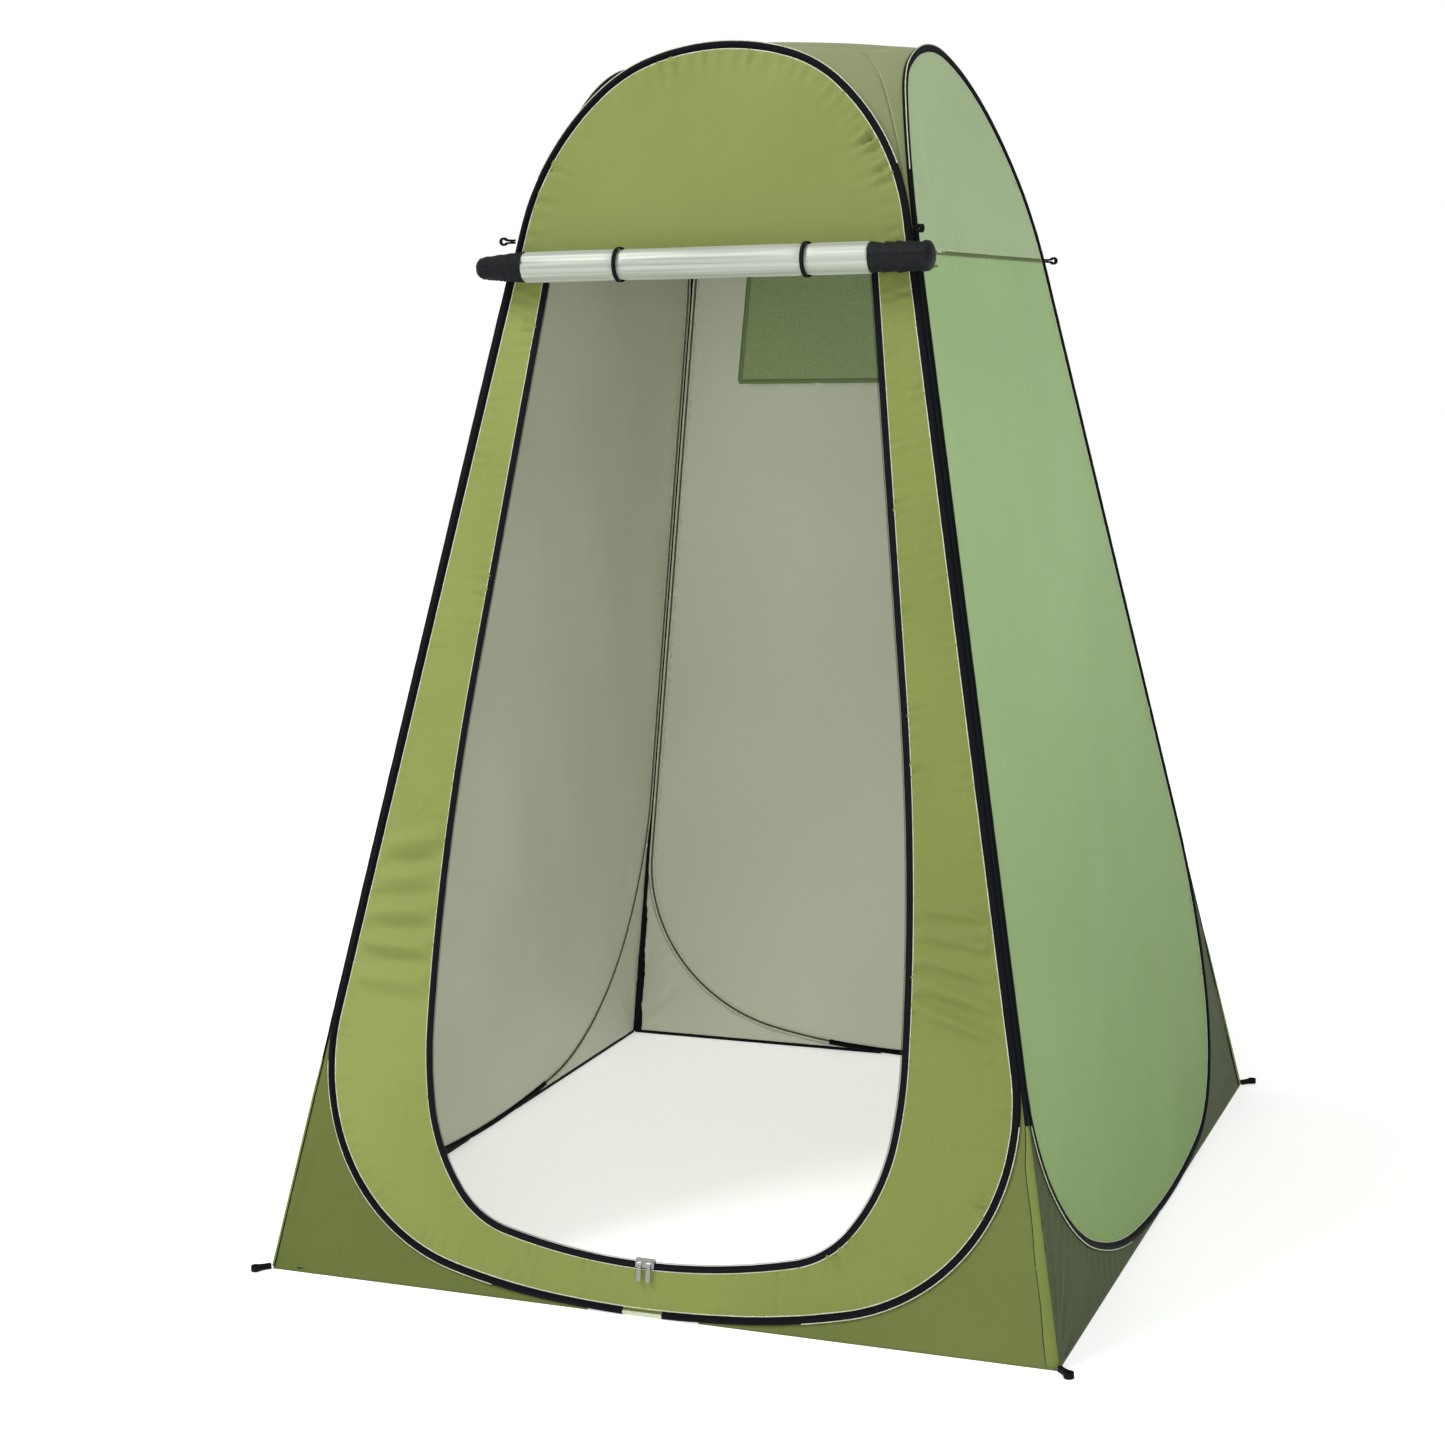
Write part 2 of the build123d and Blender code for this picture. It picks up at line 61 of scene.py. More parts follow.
def make_camera():
    data = bpy.data.cameras.new("camera")
    data.lens = CAMERA_LENS
    data.sensor_width = 36
    camera = bpy.data.objects.new("camera", data)
    bpy.context.scene.collection.objects.link(camera)
    ahead = Vector((-sin(CAMERA_YAW) * cos(CAMERA_PITCH), cos(CAMERA_YAW) * cos(CAMERA_PITCH),
                    -sin(CAMERA_PITCH)))
    level = Vector((cos(CAMERA_YAW), sin(CAMERA_YAW), 0))
    above = level.cross(ahead)
    right = level * cos(CAMERA_ROLL) + above * sin(CAMERA_ROLL)
    up = above * cos(CAMERA_ROLL) - level * sin(CAMERA_ROLL)
    turn = Matrix((right, up, -ahead)).transposed().to_4x4()
    camera.matrix_world = Matrix.Translation(CAMERA_AT) @ turn
    bpy.context.scene.camera = camera


make_camera()

# ---- sizes, as in the CAD ----
HALF_WIDTH = 637 * MM
HALF_DEPTH = 731 * MM
APEX = 3296 * MM
JUNCTION = 1571 * MM
ROOF_HUB = 1914 * MM         # the taut roof stands a little above the crowns
SLEEVE_R = 4.5 * MM
EDGE_MARGIN = 7.1 * MM
BINDING_GAP = 62 * MM
TUCK = 0.8 * MM            # cloth edges end this far inside a binding's surface
CLOTH = 0.7 * MM
HEM = 0.4 * MM
GUSSET_TOP = 430 * MM
DOOR_TOP = 1594 * MM
DOOR_BOTTOM = 77 * MM
DOOR_ARCS = [(1000, 13.5), (150, 38.5), (300, 28.0), (680, 10.0), (4200, 7.4)]
TAPE_WIDTH = 9 * MM
COIL_WIDTH = 2.6 * MM
ROLL_R = 24.5 * MM
ROLL_OUT = 30 * MM
ROLL_SILVER = (-292 * MM, 273 * MM)
ROLL_ENDS = (-377 * MM, 371 * MM)
TIES = {"left": -133 * MM, "right": 172 * MM}
TIE_WIDTH = 6.5 * MM
CURTAIN = (1581 * MM, 1592 * MM)
CURTAIN_HALF = 369 * MM    # it stays behind the roll
CURTAIN_OUT = (1.0 * MM, 5.0 * MM)   # at its sewn edge, and in front of the bindings
DOOR_TRAVEL = 1395 * MM
WINDOW_LOW, WINDOW_HIGH = 1402 * MM, 1598 * MM
WINDOW_HALF_LOW, WINDOW_HALF_HIGH = 254 * MM, 216 * MM
WINDOW_BINDING = 8 * MM
FLAP_MARGIN = 12 * MM
FLAP_OUT = 2.0 * MM
BACK_SEAM = 1618 * MM
SIDE_SEAM = 1600 * MM

END_BOTTOM = [(1770, 4.9), (1135, 8.65), (308, 59.0)]
END_ARCH = [(364.5, 18.0), (231, 23.8)]
SIDE_BOTTOM_WIDE = [(2139, 6.46), (481, 4.51), (329.3, 62.0)]
SIDE_BOTTOM_TIGHT = [(2310, 6.6), (831, 17.0), (374, 34.2)]
SIDE_ARCH_WIDE = [(267, 11.7), (593, 22.4), (618, 13.8)]
SIDE_ARCH_TIGHT = [(340, 26.0), (130, 36.0)]
LEFT_ARCH = [(283.5, 19.1), (310, 24.4)]


class Panel:
    """One leaning panel: its plane, its corner edges and its hoop (touch point, crown, arcs)."""

    def __init__(self, name, sideways, half, away, touch, crown, bottom, arch):
        self.name = name
        self.half = half
        self.slope = hypot(APEX, away)
        self.across = np.array(sideways, float)
        outward = np.array((sideways[1], -sideways[0], 0.0))
        self.origin = outward * away
        self.up = (np.array((0, 0, APEX)) - self.origin) / self.slope
        self.out = np.cross(self.across, self.up)
        self.touch, self.crown = touch, crown
        self.bottom, self.arch = bottom, arch

    def at(self, x, s, b=0.0):
        """Points of the panel's plane, moved out by b, as an array of places."""
        x, s, b = np.broadcast_arrays(np.asarray(x, float), s, b)
        flat = x[..., None] * self.across + s[..., None] * self.up + b[..., None] * self.out
        return self.origin + flat

    def edge(self, s, margin=0.0):
        """Half width of the panel at a slope height, less a margin square to the corner edge."""
        return self.half * (1 - s / self.slope) - margin * hypot(self.half, self.slope) / self.slope


PANELS = {
    "front": Panel("front", (1, 0, 0), HALF_WIDTH, HALF_DEPTH, (0, 4.6), (0, 1941.5),
                   (END_BOTTOM, END_BOTTOM), (END_ARCH, END_ARCH)),
    "right": Panel("right", (0, 1, 0), HALF_DEPTH, HALF_WIDTH, (61, 4.6), (-80, 1930.5),
                   (SIDE_BOTTOM_WIDE, SIDE_BOTTOM_TIGHT), (SIDE_ARCH_WIDE, SIDE_ARCH_TIGHT)),
    "back": Panel("back", (-1, 0, 0), HALF_WIDTH, HALF_DEPTH, (0, 4.6), (0, 1941.5),
                  (END_BOTTOM, END_BOTTOM), (END_ARCH, END_ARCH)),
    "left": Panel("left", (0, -1, 0), HALF_DEPTH, HALF_WIDTH, (-61, 4.6), (0, 1928),
                  (SIDE_BOTTOM_TIGHT, SIDE_BOTTOM_WIDE), (LEFT_ARCH, LEFT_ARCH)),
}

# ---- lines ----


def trace(start, arcs, turn):
    """Points about 2 mm apart along tangent arcs from a level start, and the last heading."""
    points, heading = [np.array(start, float)], 0.0
    for radius, size in arcs:
        swing = turn * size
        steps = max(2, ceil(radius * size / (2 * MM)))
        side = np.array((-sin(heading), cos(heading))) * turn * radius
        centre = points[-1] + side
        for k in range(1, steps + 1):
            a = swing * k / steps
            points.append(centre - np.array((side[0] * cos(a) - side[1] * sin(a),
                                             side[0] * sin(a) + side[1] * cos(a))))
        heading += swing
    return points, heading


def hoop_run(panel, start, arcs, turn):
    """One quarter of a hoop: arcs, and a last one of found radius that meets the corner edge."""
    lean = atan2(panel.half, panel.slope)
    stop = turn * (pi / 2 + turn * lean)
    normal = np.array((cos(lean), sin(lean)))
    reach = panel.half * cos(lean) - EDGE_MARGIN
    arcs = [(radius * MM, radians(size)) for radius, size in arcs]
    points, heading = trace(start, arcs, turn)
    step = turn * np.array((sin(stop) - sin(heading), cos(heading) - cos(stop)))
    radius = (reach - normal @ points[-1]) / (normal @ step)
    return trace(start, arcs + [(radius, abs(stop - heading))], turn)[0]


def even(points, step, closed=False):
    """The same line with points an even step apart."""
    points = np.asarray(points, float)
    if closed:
        points = np.vstack([points, points[:1]])
    spans = np.linalg.norm(np.diff(points, axis=0), axis=1)
    along = np.concatenate([[0], np.cumsum(spans)])
    count = max(3, int(round(along[-1] / step)))
    want = np.linspace(0, along[-1], count + 1)
    line = np.stack([np.interp(want, along, points[:, k]) for k in range(points.shape[1])], axis=1)
    return line[:-1] if closed else line


def hoop_line(panel, step=5 * MM):
    """A hoop from its touch point round to the right, over the crown and back; a closed line."""
    halves = []
    for side, sign in ((0, 1), (1, -1)):
        touch = (sign * panel.touch[0] * MM, panel.touch[1] * MM)
        crown = (sign * panel.crown[0] * MM, panel.crown[1] * MM)
        low = hoop_run(panel, touch, panel.bottom[side], 1)
        high = hoop_run(panel, crown, panel.arch[side], -1)
        halves.append(np.array(low + high[::-1]) * (sign, 1))
    return even(np.vstack([halves[0], halves[1][::-1][1:-1]]), step, closed=True)


def door_line(step=5 * MM):
    """The doorway from its top right round the bottom to its top left; an open line."""
    arcs = [(radius * MM, radians(size)) for radius, size in DOOR_ARCS]
    points, heading = trace((0, DOOR_BOTTOM), arcs, 1)
    rise = DOOR_TOP - points[-1][1]
    points.append(points[-1] + np.array((rise / tan(heading), rise)))
    right = np.array(points)
    return even(np.vstack([right[::-1], right[1:] * (-1, 1)]), step)


def inward(line, closed):
    """Unit normals on the left of a line that runs anticlockwise: towards its middle."""
    if closed:
        ahead = np.roll(line, -1, axis=0) - np.roll(line, 1, axis=0)
    else:
        ahead = np.gradient(line, axis=0)
    ahead /= np.linalg.norm(ahead, axis=1)[:, None]
    return np.stack([-ahead[:, 1], ahead[:, 0]], axis=1)


def grown(line, amount):
    """A closed anticlockwise line moved outwards, or inwards if the amount is negative."""
    return line - inward(line, True) * amount


def window_loop(grow):
    """The window's trapezium, grown all round; a closed line."""
    lean = (WINDOW_HALF_LOW - WINDOW_HALF_HIGH) / (WINDOW_HIGH - WINDOW_LOW)
    side = grow * hypot(1, lean)
    low, high = WINDOW_LOW - grow, WINDOW_HIGH + grow
    half_low = WINDOW_HALF_LOW + lean * grow + side
    half_high = WINDOW_HALF_HIGH - lean * grow + side
    corners = np.array([(-half_low, low), (half_low, low), (half_high, high), (-half_high, high)])
    sides = [np.linspace(corners[k], corners[(k + 1) % 4], 60)[:-1] for k in range(4)]
    return np.vstack(sides)


# ---- materials ----


def linear(red, green, blue):
    """A display colour, 0 to 255, as the shader's linear colour."""
    return tuple((v / 255) ** 2.2 for v in (red, green, blue)) + (1.0,)


class Nodes:
    """A short hand for building one material's node tree."""

    def __init__(self, name):
        self.material = bpy.data.materials.new(name)
        self.material.use_nodes = True
        self.tree = self.material.node_tree
        self.shader = self.tree.nodes["Principled BSDF"]

    def new(self, kind, **values):
        node = self.tree.nodes.new(kind)
        for key, value in values.items():
            if hasattr(node, key):
                setattr(node, key, value)
            else:
                node.inputs[key.replace("_", " ")].default_value = value
        return node

    def link(self, source, target):
        self.tree.links.new(source, target)

    def maths(self, operation, a, b=None):
        node = self.new("ShaderNodeMath", operation=operation)
        for slot, value in ((0, a), (1, b)):
            if isinstance(value, (int, float)):
                node.inputs[slot].default_value = value
            elif value is not None:
                self.link(value, node.inputs[slot])
        return node.outputs[0]

    def coordinates(self, scale=(1, 1, 1), uv=False):
        source = self.new("ShaderNodeTexCoord")
        mapping = self.new("ShaderNodeMapping")
        mapping.inputs["Scale"].default_value = scale
        self.link(source.outputs["UV" if uv else "Object"], mapping.inputs["Vector"])
        return mapping.outputs["Vector"]

    def noise(self, scale, detail=3.0, stretch=(1, 1, 1), uv=False):
        node = self.new("ShaderNodeTexNoise", Scale=scale, Detail=detail)
        self.link(self.coordinates(stretch, uv), node.inputs["Vector"])
        return node.outputs["Fac"]

    def ramp(self, factor, low, high, start=0.3, end=0.7):
        node = self.new("ShaderNodeValToRGB")
        first, last = node.color_ramp.elements
        first.position, first.color = start, low
        last.position, last.color = end, high
        self.link(factor, node.inputs["Fac"])
        return node.outputs["Color"]

    def mixed(self, factor, a, b, blend="MIX"):
        node = self.new("ShaderNodeMix", data_type="RGBA", blend_type=blend)
        for slot, value in ((0, factor), (6, a), (7, b)):
            if isinstance(value, (int, float, tuple)):
                node.inputs[slot].default_value = value
            else:
                self.link(value, node.inputs[slot])
        return node.outputs[2]

    def bump(self, height, distance, strength=1.0, under=None):
        node = self.new("ShaderNodeBump", Distance=distance, Strength=strength)
        self.link(height, node.inputs["Height"])
        if under:
            self.link(under, node.inputs["Normal"])
        return node.outputs["Normal"]

    def threads(self, pitch):
        """Height of a plain weave, drawn along the panel's own across and up directions."""
        split = self.new("ShaderNodeSeparateXYZ")
        self.link(self.coordinates(uv=True), split.inputs[0])
        warp, weft = (self.maths("SINE", self.maths("MULTIPLY", split.outputs[axis], 2 * pi / pitch))
                      for axis in "XY")
        return self.maths("MULTIPLY", warp, weft)

    def done(self, colour, normal=None, **values):
        self.link(colour, self.shader.inputs["Base Color"])
        if normal:
            self.link(normal, self.shader.inputs["Normal"])
        for key, value in values.items():
            self.shader.inputs[key.replace("_", " ")].default_value = value
        return self.material


def shade(colour, factor):
    """A colour made lighter or darker."""
    return tuple(min(1.0, v * factor) for v in colour[:3]) + (1.0,)


WEAVE_PITCH = 0.9 * MM


def taffeta(name, colour, pale, painted_light_gradient=None):
    """Coated polyester taffeta: fine weave, streaky threads, faint creases from being packed.

    The last argument, (axis, start, end, colour), is painted light and shade: the tone drifts to that
    colour along one axis, as the light falls."""
    n = Nodes(name)
    colour, pale = linear(*colour), linear(*pale)
    cloud = n.noise(2.6, 3.0)
    base = n.ramp(cloud, colour, pale, 0.35, 0.68)
    # Painted light and shade: along one axis the tone drifts to a second tone, darker where shade falls and
    # lighter where the light falls.
    if painted_light_gradient:
        axis, start, end, gradient_colour = *painted_light_gradient[:3], linear(*painted_light_gradient[3])
        split = n.new("ShaderNodeSeparateXYZ")
        n.link(n.coordinates(), split.inputs[0])
        light_share = n.new("ShaderNodeMapRange")
        n.link(split.outputs[axis], light_share.inputs["Value"])
        light_share.inputs["From Min"].default_value = start
        light_share.inputs["From Max"].default_value = end
        painted_light_tone = n.ramp(cloud, gradient_colour, shade(gradient_colour, 1.14), 0.35, 0.68)
        base = n.mixed(light_share.outputs["Result"], base, painted_light_tone)
    streaks = n.noise(1.0, 2.0, (260, 9, 1), uv=True)
    threads = n.mixed(0.17, base, n.ramp(streaks, shade(colour, 0.86), shade(colour, 1.13)))
    cross = n.noise(1.0, 2.0, (11, 310, 1), uv=True)
    woven = n.mixed(0.13, threads, n.ramp(cross, shade(colour, 0.88), shade(colour, 1.12)))
    soft = n.bump(n.noise(16.0, 4.0), 1.6 * MM, 0.35)
    weave = n.bump(n.threads(WEAVE_PITCH), 0.05 * MM, 0.6, soft)
    return n.done(woven, weave, Roughness=0.62, Sheen_Weight=0.02, Sheen_Roughness=0.5,
                  Specular_IOR_Level=0.2)


def lining(name, colour, pale):
    """The coated inner face: even grey, a slight shine, packed creases."""
    n = Nodes(name)
    colour, pale = linear(*colour), linear(*pale)
    base = n.ramp(n.noise(1.9, 3.0), colour, pale, 0.35, 0.65)
    grain = n.mixed(0.15, base, n.ramp(n.noise(900.0, 2.0), shade(colour, 0.85), shade(pale, 1.1)))
    soft = n.bump(n.noise(11.0, 4.0), 2.0 * MM, 0.3)
    return n.done(grain, soft, Roughness=0.55, Specular_IOR_Level=0.4)


def webbing(name, colour, pitch, roughness=0.72):
    """Woven binding tape: ribs across it, with painted shade in the rib hollows, a painted highlight on the
    high threads, and paler worn patches.
    """
    n = Nodes(name)
    colour = linear(*colour)
    ribs = n.threads(pitch)
    wear = n.noise(240.0, 3.0)
    base = n.ramp(wear, colour, shade(colour, 2.1), 0.42, 0.85)
    # Painted shade and highlight: the rib hollows darker, the high threads paler.
    ribs_shade_and_highlight = n.mixed(0.35, base, n.ramp(ribs, shade(colour, 0.5), shade(colour, 1.7), 0.1, 0.9))
    return n.done(ribs_shade_and_highlight, n.bump(ribs, 0.35 * MM, 0.8), Roughness=roughness, Specular_IOR_Level=0.12)


def silvered(name):
    """The silver-coated inner face of the door, showing on the outside of the roll."""
    n = Nodes(name)
    bands = n.noise(1.0, 3.0, (0.8, 190, 190))
    base = n.ramp(bands, linear(124, 130, 117), linear(176, 181, 171), 0.3, 0.7)
    fine = n.noise(1.0, 2.0, (4, 900, 900))
    colour = n.mixed(0.18, base, n.ramp(fine, linear(126, 131, 119), linear(190, 194, 183)))
    soft = n.bump(n.noise(1.0, 3.0, (6, 160, 160)), 0.9 * MM, 0.5)
    return n.done(colour, soft, Roughness=0.5, Metallic=0.15, Specular_IOR_Level=0.5)


def metal(name, colour, roughness):
    """Bare metal with fine scratches along it."""
    n = Nodes(name)
    colour = linear(*colour)
    scratches = n.noise(1.0, 4.0, (300, 2200, 2200))
    base = n.ramp(scratches, shade(colour, 0.8), shade(colour, 1.1))
    return n.done(base, n.bump(n.noise(700.0, 3.0), 0.05 * MM, 0.5), Roughness=roughness, Metallic=1.0)


def nylon(name, colour):
    """Moulded nylon, slightly uneven."""
    n = Nodes(name)
    colour = linear(*colour)
    base = n.ramp(n.noise(500.0, 2.0), colour, shade(colour, 1.8))
    return n.done(base, n.bump(n.noise(1500.0, 2.0), 0.05 * MM, 0.4), Roughness=0.42)


LOOKS = {
    # Painted light: the front cloth turns darker from left to right, as the light falls from the left.
    "front": taffeta("front_cloth", (118, 129, 67), (126, 137, 74),
                     painted_light_gradient=("X", -0.5, 0.45, (105, 115, 58))),
    "header": taffeta("header_cloth", (110, 119, 62), (118, 127, 70)),
    # Painted shade: the lower side cloth turns darker towards the ground, where less light falls.
    "side": taffeta("side_cloth", (152, 181, 124), (161, 190, 134),
                    painted_light_gradient=("Z", 1.1, 0.12, (104, 132, 68))),
    "upper": taffeta("upper_cloth", (163, 185, 140), (171, 193, 150)),
    "roof": taffeta("roof_cloth", (123, 131, 92), (131, 139, 101)),
    # Painted light: the right front gusset is lighter than the left one, as the light falls.
    "gusset": taffeta("gusset_cloth", (83, 93, 43), (92, 102, 50),
                      painted_light_gradient=("X", -0.6, 0.6, (97, 107, 57))),
    # Painted shade: a darker copy of the gusset cloth, for the side and back gussets that stand in shade.
    "shaded": taffeta("side_gusset_painted_shade", (53, 65, 24), (61, 73, 30)),
    "flap": taffeta("flap_cloth", (102, 114, 56), (112, 124, 65)),
    "window": taffeta("window_cloth", (96, 116, 72), (106, 126, 80)),
    "window_inside": taffeta("window_inside", (150, 168, 112), (160, 178, 122)),
    "net": nylon("window_net", (118, 134, 92)),
    "lining": lining("lining", (183, 187, 169), (191, 195, 177)),
    "binding": webbing("black_binding", (11, 14, 20), 1.6 * MM),
    "tape": webbing("black_tape", (16, 19, 24), 1.3 * MM),
    "strap": webbing("black_webbing", (18, 19, 22), 2.2 * MM),
    "wound": webbing("roll_tape", (27, 28, 31), 3.0 * MM, 0.45),
    "stitch": webbing("dark_stitching", (84, 88, 78), 1.2 * MM),
    "piping": webbing("pale_channel", (196, 204, 172), 1.4 * MM),
    "seam": taffeta("seam_cloth", (84, 100, 56), (98, 114, 66)),
    "silver": silvered("door_silver"),
    "coil": nylon("zip_coil", (20, 22, 26)),
    "zinc": metal("zip_metal", (170, 170, 166), 0.26),
    "steel": metal("spring_steel", (150, 152, 156), 0.35),
}

# ---- mesh helpers ----


def add_mesh(name, points, faces, looks, uv=None, kinds=None, smooth=True):
    """A mesh object from points, faces, material keys, a UV per point and a material per face."""
    mesh = bpy.data.meshes.new(name)
    mesh.from_pydata([tuple(p) for p in points], [], [tuple(int(i) for i in f) for f in faces])
    for look in looks:
        mesh.materials.append(LOOKS[look])
    if uv is not None:
        corners = np.zeros(len(mesh.loops), np.int32)
        mesh.loops.foreach_get("vertex_index", corners)
        layer = mesh.uv_layers.new(name="cloth")
        layer.data.foreach_set("uv", np.asarray(uv, np.float32)[corners].ravel())
    if kinds is not None:
        mesh.polygons.foreach_set("material_index", np.asarray(kinds, np.int32))
    mesh.polygons.foreach_set("use_smooth", [smooth] * len(mesh.polygons))
    mesh.update()
    obj = bpy.data.objects.new(name, mesh)
    bpy.context.scene.collection.objects.link(obj)
    return obj


def belongs(obj, body, slot, *nodes):
    """The body a piece rides on and the CAD nodes it replaces; slot, a finish's slot, is not used."""
    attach(obj, body)
    if nodes:
        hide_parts(*nodes)


def grid_faces(rows, ring, closed=True, looped=False, flip=False):
    """Faces between rows of points; closed joins a row's ends, and looped the last row to the first."""
    faces = []
    for i in range(rows if looped else rows - 1):
        j = (i + 1) % rows
        for k in range(ring if closed else ring - 1):
            l = (k + 1) % ring
            a, b, c, d = i * ring + k, i * ring + l, j * ring + l, j * ring + k
            faces.append((a, d, c, b) if flip else (a, b, c, d))
    return faces


def end_faces(rows, ring):
    """The two faces that close a tube of rings."""
    return [tuple(range(ring - 1, -1, -1)), tuple((rows - 1) * ring + k for k in range(ring))]


def thicken(obj, thickness):
    """Gives a sheet its thickness, with its second material on its inner face."""
    solid = obj.modifiers.new("thickness", "SOLIDIFY")
    solid.thickness = thickness
    solid.offset = 0
    solid.material_offset = 1
    solid.use_even_offset = False


def inside(points, loops):
    """Whether each point is inside the loops, counting a loop in a loop as a hole."""
    hits = np.zeros(len(points), int)
    for loop in loops:
        after = np.roll(loop, -1, axis=0)
        for part in np.array_split(np.arange(len(points)), max(1, len(points) // 3000)):
            x, y = points[part, 0, None], points[part, 1, None]
            spans = (loop[:, 1] > y) != (after[:, 1] > y)
            rise = np.where(after[:, 1] == loop[:, 1], 1e-12, after[:, 1] - loop[:, 1])
            cut = loop[:, 0] + (y - loop[:, 1]) * (after[:, 0] - loop[:, 0]) / rise
            hits[part] += (spans & (x < cut)).sum(1)
    return hits % 2 == 1


def to_edge(points, loops):
    """Each point's distance to the nearest loop, and how far along the loops it lies."""
    tree = kdtree.KDTree(sum(len(loop) for loop in loops))
    along, total = [], 0.0
    for loop in loops:
        spans = np.linalg.norm(loop - np.roll(loop, 1, axis=0), axis=1)
        for k, p in enumerate(loop):
            total += spans[k]
            tree.insert((p[0], p[1], 0), len(along))
            along.append(total)
    tree.balance()
    found = [tree.find((p[0], p[1], 0)) for p in points]
    return np.array([f[2] for f in found]), np.array(along)[[f[1] for f in found]]


ROW_STEP = 0.866           # rows of even triangles stand this share of a side apart


def triangulated(loops, spacing):
    """Flat points and triangles that fill the loops, about evenly spaced."""
    low, high = loops[0].min(0), loops[0].max(0)
    rows = np.arange(low[1], high[1], spacing * ROW_STEP)
    grid = np.array([(x, s) for k, s in enumerate(rows)
                     for x in np.arange(low[0] + (k % 2) * spacing / 2, high[0], spacing)])
    grid = grid[inside(grid, loops)]
    grid = grid[to_edge(grid, loops)[0] > 0.55 * spacing]
    edges, count = [], 0
    for loop in loops:
        ids = count + np.arange(len(loop))
        edges += list(zip(ids.tolist(), np.roll(ids, -1).tolist()))
        count += len(loop)
    flat = np.vstack(loops + [grid])
    points, _, faces, *_ = geometry.delaunay_2d_cdt([Vector(p) for p in flat], edges, [], 0, 1e-7)
    points = np.array([tuple(p) for p in points])
    faces = np.array([f for f in faces if len(f) == 3])
    return points, faces[inside(points[faces].mean(1), loops)]


def waves(points, seed, longest, shortest, count=9):
    """A soft random relief of about -1 to 1, made of waves of chosen lengths."""
    rng = np.random.default_rng(seed)
    total = np.zeros(len(points))
    for _ in range(count):
        angle = rng.uniform(0, 2 * pi)
        length = rng.uniform(shortest, longest)
        direction = np.array((cos(angle), sin(angle))) * 2 * pi / length
        total += np.sin(points @ direction + rng.uniform(0, 2 * pi))
    return total / count * 2


def smooth(value):
    value = np.clip(value, 0, 1)
    return value * value * (3 - 2 * value)


def crease(points, start, end, width, depth):
    """One sharp fold line: a ridge with a softer valley beside it, dying out at both ends."""
    start, end = np.array(start), np.array(end)
    run = end - start
    length = np.linalg.norm(run)
    along = (points - start) @ run / length ** 2
    off = (points - start) @ np.array((-run[1], run[0])) / length
    ridge = np.exp(-(off / width) ** 2) - 0.7 * np.exp(-((off + 1.5 * width) / (1.4 * width)) ** 2)
    return depth * ridge * np.sin(pi * np.clip(along, 0, 1)) ** 0.7


def puckers(away, along, points, seed, depth, reach):
    """Short gathers square to a binding, where its stitching draws the cloth in."""
    rng = np.random.default_rng(seed)
    total = np.zeros(len(points))
    away = np.maximum(away - FLANGE, 0)
    for length in rng.uniform(12 * MM, 34 * MM, 5):
        total += np.sin(2 * pi * along / length + rng.uniform(0, 2 * pi)) / 5
    sharp = np.sign(total) * np.abs(total * 2.2) ** 1.4
    patchy = 0.45 + 0.55 * smooth(waves(points, seed + 1, 0.5, 0.15) + 0.5)
    return depth * sharp * patchy * (away / reach * 2.7) * np.exp(-away / reach * 2.7 + 1)


FLANGE = 4.0 * MM          # how far a binding's flat flange lies over the cloth
# a slimmer cut than this is declared as a shorter rectangle
LEAST_SHARE = 0.31         # a slimmer cut than this is measured as a shorter rectangle; the size is not used further


def cloth_sheet(name, panel, loops, look, body, node, cloth_slot, spacing, seed, out=0.0,
                relief=None, inner="lining", sag=2.2 * MM, gather=1.5 * MM, strip=None):
    """A stretched sheet of tent cloth in a panel's plane, with its wrinkles.

    strip is a slim cut's real length, where the sheet runs round a doorway."""
    points, faces = triangulated(loops, spacing)
    away, along = to_edge(points, loops)
    held = smooth(away / (70 * MM))
    high = sag * held * waves(points, seed, 0.62, 0.2)
    high += 0.35 * MM * smooth(away / (25 * MM)) * waves(points, seed + 5, 0.12, 0.05)
    high += puckers(away, along, points, seed + 11, gather, 26 * MM)
    if relief:
        high += relief(points, away, along)
    obj = add_mesh(name, panel.at(points[:, 0], points[:, 1], out + high), faces, [look, inner], points)
    thicken(obj, CLOTH)
    corners = points[faces]
    a, b = corners[:, 1] - corners[:, 0], corners[:, 2] - corners[:, 0]
    area = float(np.abs(a[:, 0] * b[:, 1] - a[:, 1] * b[:, 0]).sum() / 2)
    width, length = (area / strip, strip) if strip else np.ptp(points, axis=0)
    length = min(length, area / (LEAST_SHARE * width))
    belongs(obj, body, cloth_slot, node)


